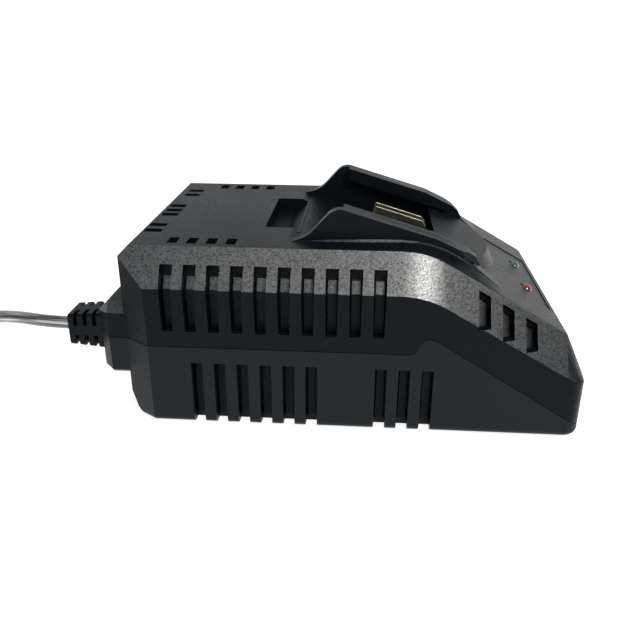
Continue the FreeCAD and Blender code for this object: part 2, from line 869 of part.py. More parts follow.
for tag, side in (("near", -1), ("far", 1)):
    sections = [
        margin_section(f"margin_{tag}_{index}", side, reach, foot, crest, cell("rail_outer") - 0.3)
        for index, (reach, foot, crest) in enumerate(MARGIN_RISES, start=1)
    ]
    ruled_loft(top_shell, "AdditiveLoft", f"margin_{tag}", sections)
    ends = (
        (cell("margin_end"), MARGIN_RISES[-1][1], MARGIN_RISES[-1][2]),
        (cell("shoulder_end"), 0.03, 0.06),
    )
    inner = cell("apron_side")
    sections = [
        margin_section(f"shoulder_{tag}_{index}", side, reach, foot, crest, inner)
        for index, (reach, foot, crest) in enumerate(ends, start=1)
    ]
    ruled_loft(top_shell, "AdditiveLoft", f"shoulder_{tag}", sections)

# Latch pit: its walls under the deck, then the pit with a ramp towards the nose
pit_start = cell("latch_start")
pit_end = cell("latch_end")
pit_half = cell("latch_half_width")
pit_low = DECK - cell("latch_depth")
box_under = rectangle(pit_start - WALL, pit_end + 1, pit_low - WALL, DECK - 1)
sketch = side_sketch(top_shell, "latch_tray_outline", 0, box_under)
pad(top_shell, "latch_tray", sketch, (pit_half + WALL) * 2, midplane=True)
pit = [
    (pit_start, DECK + 1),
    (pit_start + 0.5, pit_low),
    (pit_start + cell("latch_flat"), pit_low),
    (pit_end, DECK - cell("latch_lip")),
    (pit_end, DECK + 1),
]
sketch = side_sketch(top_shell, "latch_pit_outline", 0, pit)
pocket(top_shell, "latch_pit", sketch, pit_half * 2, midplane=True)

# Parting cut
keep_above(top_shell, "top_parting", cell("parting_gap"))
hollow_boss(top_shell, "top_boss")

# Upper side vents, ten on each side
vent_left = cell("upper_vent_reach") - cell("upper_vent_width") / 2
vent = [
    (vent_left + 0.4, cell("upper_vent_low")),
    (vent_left + cell("upper_vent_width") - 0.4, cell("upper_vent_low")),
    (vent_left + cell("upper_vent_width"), cell("upper_vent_high")),
    (vent_left, cell("upper_vent_high")),
]
VENT_COUNT = 10
VENT_INNER = DECK_SIDE - WALL
for tag, place in (("near", VENT_INNER), ("far", -SIDE - 1)):
    sketch = side_sketch(top_shell, f"upper_vent_{tag}_outline", place, vent)
    first = pocket(top_shell, f"upper_vent_{tag}", sketch, SIDE - VENT_INNER + 1, backward=True)
    span = cell("vent_pitch") * (VENT_COUNT - 1)
    pattern(top_shell, f"upper_vents_{tag}", first, "X_Axis", span, VENT_COUNT)

# Nose vents: three slanted openings on each side, following the band
NOSE_VENT_LOWS = (0.9, 1.7, 2.5)
for index, low in enumerate(NOSE_VENT_LOWS):
    left = cell("nose_vent_reach") + cell("nose_vent_pitch") * index - cell("nose_vent_width") / 2
    right = left + cell("nose_vent_width")
    foot = panel_line(left) - cell("band_drop") + low - 2.0
    opening = [
        (left, foot),
        (right, foot),
        (right, panel_line(right) - 2.4),
        (left, panel_line(left) - 2.4),
    ]
    both_sides(top_shell, "Pocket", f"nose_vent_{index + 1}", VENT_INNER, SIDE + 1, opening)

# Deck vents: two, three and two along the rear edge, four along each side
REAR_VENTS = (
    (-0.9, -31.9),
    (-0.9, -24.0),
    (-0.4, -8.0),
    (-0.4, -1.0),
    (-0.4, 6.5),
    (1.2, 27.0),
    (1.4, 35.0),
)
EDGE_VENTS = 4
cuts = []
for shift, place in REAR_VENTS:
    x = cell("rear_vent_reach") + shift
    long = cell("rear_vent_length") / 2
    wide = cell("rear_vent_width") / 2
    cuts.append(rectangle(x - long, x + long, place - wide, place + wide))
for index in range(EDGE_VENTS):
    for tag, side in (("near", -1), ("far", 1)):
        x = cell(f"{tag}_vent_reach") + cell("edge_vent_pitch") * index
        long = cell("edge_vent_width") / 2
        wide = cell("edge_vent_length") / 2
        y = cell("edge_vent_offset") * side
        cuts.append(rectangle(x - long, x + long, y - wide, y + wide))
sketch = outline_sketch(top_shell, "deck_vent_outline", "XY_Plane", DECK - WALL - 2, *cuts)
pocket(top_shell, "deck_vents", sketch, WALL + 4, backward=True)

# Front panel: shallow bare recess and two lamp holes
recess_low = cell("recess_depth")
left = cell("recess_start")
right = cell("recess_end")
recess = [
    (left, panel_line(left) - recess_low),
    (right, panel_line(right) - recess_low),
    (right, panel_line(right) + 3),
    (left, panel_line(left) + 3),
]
sketch = side_sketch(top_shell, "recess_outline", 0, recess)
pocket(top_shell, "recess", sketch, cell("recess_half_width") * 2, midplane=True)
hole = cell("lamp_diameter") / 2 + cell("lamp_gap")
holes = [(cell("lamp_reach"), cell("lamp_offset") * side, hole) for side in (-1, 1)]
sketch = circle_sketch(top_shell, "lamp_hole_outline", "XY_Plane", cell("nose_bend_height"), holes)
pocket(top_shell, "lamp_holes", sketch, 40, backward=True)

# Lower shell
bottom_shell = new_body("bottom_shell")
body_loft(bottom_shell, "AdditiveLoft", "bottom_form", 0, FLOOR)
trim_corners(bottom_shell, "bottom", 0)
sweep_rear(bottom_shell, "bottom_rear_sweep", 0)
round_edges(bottom_shell, "bottom_rounding", cell("bottom_round"), on_floor)
add_boss(bottom_shell, "bottom_boss")
keep_below(bottom_shell, "bottom_parting")
subtract(bottom_shell, "bottom_hollow", cavity("bottom_cavity", FLOOR + WALL))
hollow_boss(bottom_shell, "bottom_boss")
left = cell("lower_vent_reach") - cell("lower_vent_width") / 2
LOWER_GROUPS = (("rear", 0, 6), ("front", 8, 3))
for group, skip, count in LOWER_GROUPS:
    start_x = left + cell("vent_pitch") * skip
    opening = rectangle(start_x, start_x + cell("lower_vent_width"), FLOOR - 1, cell("lower_vent_high"))
    for tag, place in (("near", SIDE - 6), ("far", -SIDE - 1)):
        name = f"lower_vent_{group}_{tag}"
        sketch = side_sketch(bottom_shell, f"{name}_outline", place, opening)
        first = pocket(bottom_shell, name, sketch, 7, backward=True)
        span = cell("vent_pitch") * (count - 1)
        pattern(bottom_shell, f"{name}_row", first, "X_Axis", span, count)

# Contacts: a moulded block in the dock's floor and two upright blades
FIT = cell("fit_gap")


def sloped_bar(body, name, left, right, low, high, half, centre=0):
    """A bar between two places along the dock, between two heights over its floor."""
    points = [
        (left, dock_floor(left, low)),
        (right, dock_floor(right, low)),
        (right, dock_floor(right, high)),
        (left, dock_floor(left, high)),
    ]
    offset = as_size(centre) - half
    sketch = side_sketch(body, f"{name}_outline", offset, points)
    return pad(body, name, sketch, as_size(half) * 2)


BLOCK_START = cell("block_start")
BLOCK_END = cell("block_end")
BLOCK_HALF = cell("block_half_width")
window = rectangle(BLOCK_START + 6, BLOCK_END - 3, -BLOCK_HALF + 2, BLOCK_HALF - 2)
sketch = outline_sketch(top_shell, "contact_window_outline", "XY_Plane", DECK, window)
pocket(top_shell, "contact_window", sketch, 25)
contact_block = new_body("contact_block")
sloped_bar(
    contact_block, "block", BLOCK_START, BLOCK_END, 0.05, cell("block_rise"), BLOCK_HALF
)
sloped_bar(
    contact_block,
    "block_root",
    BLOCK_START + 6 + FIT,
    BLOCK_END - 3 - FIT,
    -WALL - 2,
    1,
    BLOCK_HALF - 2 - FIT,
)
blades = []
for tag, side in (("positive", -1), ("negative", 1)):
    blade = new_body(f"{tag}_contact")
    place = cell("blade_offset") * side
    half_blade = cell("blade_thick") / 2
    left = cell("blade_start")
    right = cell("blade_end")
    low = cell("block_rise") + 0.02
    profile = [
        (left - 1.8, dock_floor(left - 1.8, low)),
        (right, dock_floor(right, low)),
        (right, dock_floor(right, cell("blade_rise")) - 1.5),
        (right - 1.5, dock_floor(right - 1.5, cell("blade_rise"))),
        (left, dock_floor(left, cell("blade_rise"))),
    ]
    sketch = side_sketch(blade, f"{tag}_outline", -place - half_blade, profile)
    pad(blade, f"{tag}_blade", sketch, half_blade * 2)
    blades.append(blade)

# Lamps in the front panel
LAMP_TOP = panel_line(cell("lamp_reach")) - cell("lamp_sink")
LAMP_BASE = LAMP_TOP - cell("lamp_tall")
lamps = []
for tag, side in (("red", -1), ("green", 1)):
    lamp = new_body(f"{tag}_lamp")
    radius = cell("lamp_diameter") / 2
    rim = radius + 0.4
    dome = [
        (0, LAMP_BASE),
        (rim, LAMP_BASE),
        (rim, LAMP_BASE + 1),
        (radius, LAMP_BASE + 1),
        (radius, LAMP_TOP - radius, radius),
        (0, LAMP_TOP),
    ]
    sketch = outline_sketch(lamp, f"{tag}_lamp_outline", "XZ_Plane", 0, dome)
    turn = lamp.newObject("PartDesign::Revolution", f"{tag}_lamp_dome")
    turn.Profile = sketch
    turn.ReferenceAxis = (sketch, ["V_Axis"])
    turn.Angle = 360.0
    lamp.Placement.Base = Vector(DIMENSIONS["lamp_reach"], DIMENSIONS["lamp_offset"] * side, 0)
    bind(lamp, "Placement.Base.x", cell("lamp_reach"))
    bind(lamp, "Placement.Base.y", cell("lamp_offset") * side)
    lamps.append(lamp)

# Liners behind the side vents: combs of bars that follow the wall and the band
liners = []
BAND_RUN = cell("band_inset") / cell("band_drop")
BEND = DECK - cell("band_drop")
SPACER = 1.5
STRIP = 2.5
PLATE_BACK = 4.0
LINER_OUTER = SIDE - cell("liner_depth")
LINER_INNER = LINER_OUTER - cell("liner_thick")


def add_spacers(body, name, side, tall, ends):
    """Ribs that hold a liner off the wall, each given by where it starts and its foot's height."""
    wall_face = (SIDE - WALL) * side
    liner_face = (LINER_OUTER - 0.5) * side
    for index, (place, low) in enumerate(ends, start=1):
        outline = rectangle(liner_face, wall_face, low, low + tall)
        sketch = outline_sketch(body, f"{name}_spacer_{index}_outline", "YZ_Plane", place, outline)
        pad(body, f"{name}_spacer_{index}", sketch, SPACER)


def bent_bar(side, foot, bend, crest):
    """Cross section of a bar that stands along the wall and leans in along the band."""
    lean = (crest - bend) * BAND_RUN
    return [
        (LINER_OUTER * side, foot),
        (LINER_OUTER * side, bend),
        ((LINER_OUTER - lean) * side, crest),
        ((LINER_INNER - lean) * side, crest),
        (LINER_INNER * side, bend - 0.5),
        (LINER_INNER * side, foot),
    ]


def back_plate(side, low, bend, crest, high):
    """Cross section of the plate that carries the bars' tops and closes the view behind them."""
    lean = (crest - bend) * BAND_RUN
    outer = LINER_INNER - lean + 0.4
    thick = cell("liner_thick")
    return [
        (outer * side, low),
        (outer * side, high),
        ((outer - thick) * side, high),
        ((outer - thick) * side, low),
    ]


for tag, side in (("near", -1), ("far", 1)):
    liner = new_body(f"upper_vent_liner_{tag}")
    foot = cell("upper_vent_low") - 4
    bend = BEND - 1.3
    crest = cell("upper_vent_high") - 5
    back = cell("upper_vent_reach") - 5
    span = cell("vent_pitch") * VENT_COUNT + 1
    strip = rectangle(LINER_INNER * side, LINER_OUTER * side, foot, foot + STRIP)
    sketch = outline_sketch(liner, f"upper_strip_{tag}_outline", "YZ_Plane", back, strip)
    pad(liner, f"upper_strip_{tag}", sketch, span)
    left = cell("upper_vent_reach") - cell("upper_bar_width") / 2
    bar = bent_bar(side, foot, bend, crest)
    sketch = outline_sketch(liner, f"upper_bar_{tag}_outline", "YZ_Plane", left, bar)
    first = pad(liner, f"upper_bar_{tag}", sketch, cell("upper_bar_width"))
    row = cell("vent_pitch") * (VENT_COUNT - 1)
    pattern(liner, f"upper_bars_{tag}", first, "X_Axis", row, VENT_COUNT)
    plate = back_plate(side, foot, bend, crest, crest + 6.5)
    sketch = outline_sketch(liner, f"upper_plate_{tag}_outline", "YZ_Plane", back, plate)
    pad(liner, f"upper_plate_{tag}", sketch, span)
    add_spacers(liner, f"upper_{tag}", side, STRIP, ((back, foot), (back + span - SPACER, foot)))
    liners.append(liner)
    liner = new_body(f"lower_vent_liner_{tag}")
    high = cell("lower_vent_high") + 3
    back = cell("lower_vent_reach") - 5
    span = cell("vent_pitch") * 11 + 1
    flange = LINER_INNER - PLATE_BACK
    plate = flange + cell("liner_thick")
    strip = [
        (LINER_OUTER * side, high - STRIP),
        (LINER_OUTER * side, high),
        (flange * side, high),
        (flange * side, cell("lower_bar_foot") + 1),
        (plate * side, cell("lower_bar_foot") + 1),
        (plate * side, high - STRIP),
    ]
    sketch = outline_sketch(liner, f"lower_strip_{tag}_outline", "YZ_Plane", back, strip)
    pad(liner, f"lower_strip_{tag}", sketch, span)
    bar = rectangle(LINER_INNER * side, LINER_OUTER * side, cell("lower_bar_foot"), high)
    for group, skip, count in LOWER_GROUPS:
        left = cell("lower_vent_reach") + cell("vent_pitch") * skip - cell("lower_bar_width") / 2
        name = f"lower_bar_{group}_{tag}"
        sketch = outline_sketch(liner, f"{name}_outline", "YZ_Plane", left, bar)
        first = pad(liner, name, sketch, cell("lower_bar_width"))
        row = cell("vent_pitch") * (count - 1)
        pattern(liner, f"{name}_row", first, "X_Axis", row, count)
    ends = ((back, high - STRIP), (back + span - SPACER, high - STRIP))
    add_spacers(liner, f"lower_{tag}", side, STRIP, ends)
    liners.append(liner)
    liner = new_body(f"nose_vent_liner_{tag}")
    left = cell("nose_vent_reach") - 6
    right = left + cell("nose_vent_pitch") * 3 + 3
    low = cell("band_drop") + 9
    strip = [
        (left, panel_line(left) - low),
        (right, panel_line(right) - low),
        (right, panel_line(right) - low + STRIP),
        (left, panel_line(left) - low + STRIP),
    ]
    place = LINER_INNER if side < 0 else -LINER_OUTER
    sketch = side_sketch(liner, f"nose_strip_{tag}_outline", place, strip)
    pad(liner, f"nose_strip_{tag}", sketch, cell("liner_thick"))
    sections = []
    for end, reach in (("rear", left), ("front", right)):
        bend = panel_line(reach) - cell("band_drop") - 1.3
        crest = panel_line(reach) - cell("band_drop") + cell("nose_bar_crest")
        plate = back_plate(side, bend - 6, bend, crest, crest + 2.2)
        name = f"nose_plate_{tag}_{end}"
        sections.append(outline_sketch(liner, name, "YZ_Plane", reach, plate))
    ruled_loft(liner, "AdditiveLoft", f"nose_plate_{tag}", sections)
    for index in range(len(NOSE_VENT_LOWS)):
        middle = cell("nose_vent_reach") + cell("nose_vent_pitch") * index
        sections = []
        for end, step in (("rear", -1), ("front", 1)):
            reach = middle + cell("nose_bar_width") / 2 * step
            foot = panel_line(reach) - low + 0.5
            bend = panel_line(reach) - cell("band_drop") - 1.3
            crest = panel_line(reach) - cell("band_drop") + cell("nose_bar_crest")
            bar = bent_bar(side, foot, bend, crest)
            name = f"nose_bar_{tag}_{index + 1}_{end}"
            sections.append(outline_sketch(liner, name, "YZ_Plane", reach, bar))
        ruled_loft(liner, "AdditiveLoft", f"nose_bar_{tag}_{index + 1}", sections)
    foot = panel_line(left) - low + 0.5
    fall = (right - left - SPACER) * PANEL_SLOPE
    ends = ((left, foot), (right - SPACER, foot - fall))
    add_spacers(liner, f"nose_{tag}", side, as_size(1.5), ends)
    liners.append(liner)

# Circuit board with its corner notches for the posts
BOARD_BASE = cell("board_height")
BOARD_TOP = BOARD_BASE + cell("board_thick")
board = new_body("circuit_board")
half_board = cell("board_half_width")
plan = rectangle(cell("board_start"), cell("board_end"), -half_board, half_board)
sketch = outline_sketch(board, "board_outline", "XY_Plane", BOARD_BASE, plan)
pad(board, "board_sheet", sketch, cell("board_thick"))
STANDOFFS = [
    (cell("standoff_rear"), -1),
    (cell("standoff_rear"), 1),
    (cell("standoff_front"), -1),
    (cell("standoff_front"), 1),
]


def rings(places, offset, radius):
    """Circles at the same offset from the middle line on both sides."""
    return [(x, offset * side, radius) for x, side in places]


standoff_side = cell("standoff_offset")
holes = rings(STANDOFFS, standoff_side, cell("screw_radius") + 0.15)
sketch = circle_sketch(board, "board_holes_outline", "XY_Plane", BOARD_TOP + 1, holes)
pocket(board, "board_holes", sketch, cell("board_thick") + 2)


def part_size(name, word):
    """One size of a part on the board."""
    return cell(f"{name}_{word}")


def footprint(name):
    """The plan outline of a part on the board."""
    x = part_size(name, "reach")
    y = part_size(name, "side")
    long = part_size(name, "long") / 2
    wide = part_size(name, "wide") / 2
    return rectangle(x - long, x + long, y - wide, y + wide)


def block_part(label):
    """A rectangular part that stands on the board."""
    body = new_body(label)
    sketch = outline_sketch(body, f"{label}_outline", "XY_Plane", BOARD_TOP, footprint(label))
    pad(body, f"{label}_block", sketch, part_size(label, "tall"))
    return body


def can_part(label):
    """A round capacitor with a crimped neck."""
    body = new_body(label)
    radius = part_size(label, "long") / 2
    tall = part_size(label, "tall")
    neck = 2.5
    rows = [
        (0, 0),
        (radius - 0.6, 0),
        (radius, 0.6),
        (radius, neck),
        (radius - 0.9, neck + 0.8),
        (radius, neck + 1.6),
        (radius, tall - 0.8),
        (radius - 0.8, tall),
        (0, tall),
    ]
    sketch = outline_sketch(body, f"{label}_outline", "XZ_Plane", 0, rows)
    turn = body.newObject("PartDesign::Revolution", f"{label}_can")
    turn.Profile = sketch
    turn.ReferenceAxis = (sketch, ["V_Axis"])
    turn.Angle = 360.0
    for axis, value in (
        ("x", part_size(label, "reach")),
        ("y", part_size(label, "side")),
        ("z", BOARD_TOP),
    ):
        bind(body, f"Placement.Base.{axis}", value)
    return body


electronics = []
for label in (
    "film_capacitor",
    "primary_heat_sink",
    "secondary_heat_sink",
    "switching_transistor",
    "output_rectifier",
    "bridge_rectifier",
    "surge_absorber",
    "control_chip",
    "isolator_chip",
    "relay",
    "output_connector",
):
    electronics.append(block_part(label))
for label in ("input_capacitor", "output_capacitor_near", "output_capacitor_far"):
    electronics.append(can_part(label))

# Transformer: bobbin with two flanges, winding between them and a core round both
name = "transformer"
x = part_size(name, "reach")
y = part_size(name, "side")
long = part_size(name, "long") / 2
wide = part_size(name, "wide") / 2
tall = part_size(name, "tall")
LEG = 5.0
flange = rectangle(x - long + LEG + 0.3, x + long - LEG - 0.3, y - wide, y + wide)
spool = rectangle(x - long + LEG + 6, x + long - LEG - 6, y - wide + 6, y + wide - 6)
bobbin = new_body("transformer_bobbin")
for index, (outline, low, high) in enumerate((
    (flange, as_size(0), as_size(3)),
    (spool, as_size(3), tall - LEG - 3),
    (flange, tall - LEG - 3, tall - LEG - 0.5),
)):
    sketch = outline_sketch(
        bobbin, f"bobbin_outline_{index + 1}", "XY_Plane", BOARD_TOP + low, outline
    )
    pad(bobbin, f"bobbin_step_{index + 1}", sketch, high - low)
winding = new_body("transformer_winding")
outer_turns = rectangle(x - long + LEG + 1.3, x + long - LEG - 1.3, y - wide + 1, y + wide - 1)
inner_turns = rectangle(x - long + LEG + 5.8, x + long - LEG - 5.8, y - wide + 5.8, y + wide - 5.8)
sketch = outline_sketch(
    winding, "winding_outline", "XY_Plane", BOARD_TOP + 3.2, outer_turns, inner_turns
)
pad(winding, "winding_turns", sketch, tall - LEG - 6.4)
core = new_body("transformer_core")
core_half = wide - 9
yoke = [
    (x - long, BOARD_TOP + 0.4),
    (x - long + LEG, BOARD_TOP + 0.4),
    (x - long + LEG, BOARD_TOP + tall - LEG),
    (x + long - LEG, BOARD_TOP + tall - LEG),
    (x + long - LEG, BOARD_TOP + 0.4),
    (x + long, BOARD_TOP + 0.4),
    (x + long, BOARD_TOP + tall),
    (x - long, BOARD_TOP + tall),
]
sketch = side_sketch(core, "core_outline", -y - core_half, yoke)
pad(core, "core_yoke", sketch, core_half * 2)
electronics += [bobbin, winding, core]

# Line choke: a ring core on its side with two windings
name = "line_choke"
choke = new_body("line_choke_core")
radius = part_size(name, "long") / 2
thin = radius - 4.5
middle_x = part_size(name, "reach")
middle_z = BOARD_TOP + radius + 0.2
place = -part_size(name, "side") - part_size(name, "wide") / 4
sketch = circle_sketch(
    choke, "choke_rings", "XZ_Plane", place, [(middle_x, middle_z, radius), (middle_x, middle_z, thin)]
)
pad(choke, "choke_ring", sketch, part_size(name, "wide") / 2)
electronics.append(choke)

# Fuse: a glass tube with two end caps
name = "fuse"
fuse = new_body("fuse")
radius = part_size(name, "long") / 2
middle_x = part_size(name, "reach")
middle_z = BOARD_TOP + radius + 1
reach = part_size(name, "wide") / 2
for tag, left, right, around in (
    ("tube", -reach, reach, radius - 0.4),
    ("cap_near", -reach, -reach + 5, radius),
    ("cap_far", reach - 5, reach, radius),
):
    place = -part_size(name, "side") + left
    sketch = circle_sketch(fuse, f"fuse_{tag}_ring", "XZ_Plane", place, [(middle_x, middle_z, around)])
    pad(fuse, f"fuse_{tag}", sketch, right - left)
electronics.append(fuse)

# Posts and screws that hold the shells together, and rubber feet
FEET = [
    (cell("foot_reach_rear"), -1),
    (cell("foot_reach_rear"), 1),
    (cell("foot_reach_front"), -1),
    (cell("foot_reach_front"), 1),
]
POST_SIDE = cell("post_offset")
POST_RADIUS = cell("post_radius")
REAR_POSTS = [(cell("post_rear"), -1), (cell("post_rear"), 1)]
FRONT_POSTS = [(cell("post_front"), -1), (cell("post_front"), 1)]
POSTS = REAR_POSTS + FRONT_POSTS
REAR_JOINT = PARTING
FRONT_JOINT = FLOOR + 16
HOLE_ROOM = 0.15
SCREW_HOLE = cell("screw_radius") + HOLE_ROOM
HEAD_HOLE = cell("screw_head_radius") + HOLE_ROOM * 2


def stand(body, name, places, offset, radius, low, high):
    """Round posts between two heights."""
    sketch = circle_sketch(body, f"{name}_outline", "XY_Plane", low, rings(places, offset, radius))
    return pad(body, name, sketch, high - low)


def drill(body, name, places, offset, radius, low, high):
    """Round holes between two heights."""
    sketch = circle_sketch(body, f"{name}_outline", "XY_Plane", low, rings(places, offset, radius))
    return pocket(body, name, sketch, high - low, backward=True)


stand(bottom_shell, "rear_posts", REAR_POSTS, POST_SIDE, POST_RADIUS, FLOOR + 1, REAR_JOINT)
stand(bottom_shell, "front_posts", FRONT_POSTS, POST_SIDE, POST_RADIUS, FLOOR + 1, FRONT_JOINT)
stand(
    bottom_shell,
    "standoffs",
    STANDOFFS,
    standoff_side,
    cell("standoff_radius"),
    FLOOR + 1,
    BOARD_BASE,
)
LAMP_BOARD_BASE = LAMP_BASE - cell("board_thick")
lamp_posts = [(cell("lamp_reach"), -1), (cell("lamp_reach"), 1)]
stand(bottom_shell, "lamp_posts", lamp_posts, as_size(8), as_size(2.5), FLOOR + 1, LAMP_BOARD_BASE)
stand(top_shell, "rear_studs", REAR_POSTS, POST_SIDE, POST_RADIUS, REAR_JOINT, DECK - 1)
stud_top = panel_line(cell("post_front")) - WALL - 1
stand(top_shell, "front_studs", FRONT_POSTS, POST_SIDE, POST_RADIUS, FRONT_JOINT, stud_top)
low = FLOOR - 1
drill(bottom_shell, "rear_holes", REAR_POSTS, POST_SIDE, SCREW_HOLE, low, REAR_JOINT + 1)
drill(bottom_shell, "front_holes", FRONT_POSTS, POST_SIDE, SCREW_HOLE, low, FRONT_JOINT + 1)
HEAD_TOP = FLOOR + cell("screw_recess")
drill(bottom_shell, "head_holes", POSTS, POST_SIDE, HEAD_HOLE, low, HEAD_TOP)
bite = cell("screw_bite")
drill(
    bottom_shell,
    "standoff_holes",
    STANDOFFS,
    standoff_side,
    SCREW_HOLE,
    FLOOR + WALL,
    BOARD_BASE + 1,
)
for tag, places, joint in (("rear", REAR_POSTS, REAR_JOINT), ("front", FRONT_POSTS, FRONT_JOINT)):
    drill(top_shell, f"{tag}_threads", places, POST_SIDE, SCREW_HOLE, joint - 1, joint + bite + 2)
SEAT_DEPTH = 0.7
drill(
    bottom_shell,
    "foot_seats",
    FEET,
    cell("foot_offset"),
    cell("foot_radius") + HOLE_ROOM,
    low,
    FLOOR + SEAT_DEPTH,
)
feet = new_body("rubber_feet")
stand(
    feet,
    "foot_pads",
    FEET,
    cell("foot_offset"),
    cell("foot_radius"),
    as_size(0),
    FLOOR + SEAT_DEPTH,
)
screws = new_body("case_screws")
head_low = HEAD_TOP - cell("screw_head_height")
stand(screws, "heads", POSTS, POST_SIDE, cell("screw_head_radius"), head_low, HEAD_TOP)
for tag, places, joint in (("rear", REAR_POSTS, REAR_JOINT), ("front", FRONT_POSTS, FRONT_JOINT)):
    radius = cell("screw_radius")
    stand(screws, f"{tag}_shanks", places, POST_SIDE, radius, HEAD_TOP - 1, joint + bite)
board_screws = new_body("board_screws")
head_high = BOARD_TOP + cell("screw_head_height")
stand(
    board_screws,
    "board_heads",
    STANDOFFS,
    standoff_side,
    cell("screw_head_radius"),
    BOARD_TOP,
    head_high,
)
stand(
    board_screws,
    "board_shanks",
    STANDOFFS,
    standoff_side,
    cell("screw_radius"),
    FLOOR + WALL + 1,
    BOARD_TOP + 1,
)
lamp_board = new_body("lamp_board")
lamp_long = cell("lamp_board_long") / 2
lamp_half = cell("lamp_board_half_width")
plan = rectangle(cell("lamp_reach") - lamp_long, cell("lamp_reach") + lamp_long, -lamp_half, lamp_half)
sketch = outline_sketch(lamp_board, "lamp_board_outline", "XY_Plane", LAMP_BOARD_BASE, plan)
pad(lamp_board, "lamp_board_sheet", sketch, cell("board_thick"))

# Strain relief: a square tail with slots, and a collar held between the shells
boot = new_body("strain_relief_boot")
BOOT_TIP = BOSS_FACE - cell("boot_length")
BOOT_SIDE = cell("boss_side")
BOOT_HEIGHT = cell("boot_height")
ROOM_START = BOSS_FACE + cell("boss_chamfer")


def square(half_wide, half_high, cut, side=BOOT_SIDE, height=BOOT_HEIGHT):
    """An upright rectangle with cut corners round the lead."""
    return octagon(height - half_high, height + half_high, side - half_wide, side + half_wide, cut)


wide = cell("boot_half_wide")
narrow = cell("boot_half_narrow")
tail = [
    outline_sketch(boot, "boot_tip", "YZ_Plane", BOOT_TIP, square(wide - 0.4, narrow, as_size(1))),
    outline_sketch(boot, "boot_root", "YZ_Plane", BOSS_FACE, square(wide, wide, as_size(1))),
    outline_sketch(boot, "boot_neck", "YZ_Plane", ROOM_START + 0.1, square(wide, wide, as_size(1))),
]
ruled_loft(boot, "AdditiveLoft", "boot_tail", tail)
collar_half = cell("boss_half_width") - WALL - 0.5
collar = square(collar_half, collar_half, as_size(1.5))
sketch = outline_sketch(boot, "collar_outline", "YZ_Plane", ROOM_START + 0.1, collar)
pad(boot, "collar", sketch, cell("boot_collar"))
COLLAR_END = ROOM_START + 0.1 + cell("boot_collar")
sketch = circle_sketch(
    boot, "stub_outline", "YZ_Plane", COLLAR_END - 0.5, [(BOOT_SIDE, BOOT_HEIGHT, as_size(5))]
)
pad(boot, "stub", sketch, 5)
STUB_END = COLLAR_END + 4.5
WEB = 2.2
CORE = 4.2
OUT = 10.0
for index in range(3):
    corners = []
    for across in (-1, 1):
        for up in (-1, 1):
            corners.append([
                (BOOT_SIDE + WEB * across, BOOT_HEIGHT + CORE * up),
                (BOOT_SIDE + CORE * across, BOOT_HEIGHT + CORE * up),
                (BOOT_SIDE + CORE * across, BOOT_HEIGHT + WEB * up),
                (BOOT_SIDE + OUT * across, BOOT_HEIGHT + WEB * up),
                (BOOT_SIDE + OUT * across, BOOT_HEIGHT + OUT * up),
                (BOOT_SIDE + WEB * across, BOOT_HEIGHT + OUT * up),
            ])
    start_x = BOOT_TIP + cell("boot_pitch") - cell("boot_slot") + cell("boot_pitch") * index
    sketch = outline_sketch(boot, f"slot_{index + 1}_outline", "YZ_Plane", start_x, *corners)
    pocket(boot, f"slot_{index + 1}", sketch, cell("boot_slot"), backward=True)

# Mains plug: a tapered neck, a body and two flat blades
COIL_HEIGHT = cell("cord_diameter") / 2 + cell("coil_lift")
RADII = [cell("coil_radius") - cell("coil_pitch") * step / 2 for step in range(4)]
INNER_CLIMB = RADII[3] - cell("coil_pitch") / 2
OUTER_CLIMB = RADII[0] + cell("coil_pitch") / 2
LAYERS = 4
PAIR_OF_LAYERS = RADII + [INNER_CLIMB] + RADII[::-1]
HALF_TURNS = PAIR_OF_LAYERS + [OUTER_CLIMB] + PAIR_OF_LAYERS
END_SIDE = cell("coil_side") + RADII[0]
for index, radius in enumerate(HALF_TURNS):
    END_SIDE = END_SIDE + radius * 2 * (1 if index % 2 else -1)
PLUG_START = cell("plug_reach")
PLUG_END = PLUG_START + cell("plug_length")
PLUG_HEIGHT = cell("plug_half_high")
half_wide = cell("plug_half_wide")
half_high = cell("plug_half_high")
plug_body = new_body("plug_body")
steps = (
    ("tip", PLUG_START, as_size(3.4), as_size(3.4), as_size(1.2)),
    ("neck", PLUG_START + cell("plug_neck"), as_size(4.8), as_size(4.4), as_size(1.4)),
    ("shoulder", PLUG_START + cell("plug_neck") + 4, half_wide - 1.5, half_high - 1, as_size(3)),
    ("face", PLUG_END, half_wide, half_high, as_size(3)),
)
sections = [
    outline_sketch(
        plug_body, f"plug_{tag}", "YZ_Plane", place, square(wide, high, cut, END_SIDE, PLUG_HEIGHT)
    )
    for tag, place, wide, high, cut in steps
]
ruled_loft(plug_body, "AdditiveLoft", "plug_form", sections)
plug_pins = new_body("plug_pins")
pins = []
for side in (-1, 1):
    middle = END_SIDE + cell("pin_offset") * side
    half_thick = cell("pin_thick") / 2
    half_pin = cell("pin_wide") / 2
    low = PLUG_HEIGHT - half_pin
    pins.append(rectangle(middle - half_thick, middle + half_thick, low, low + cell("pin_wide")))
sketch = outline_sketch(plug_pins, "pin_outlines", "YZ_Plane", PLUG_END, *pins)
pad(plug_pins, "pins", sketch, cell("pin_length"))

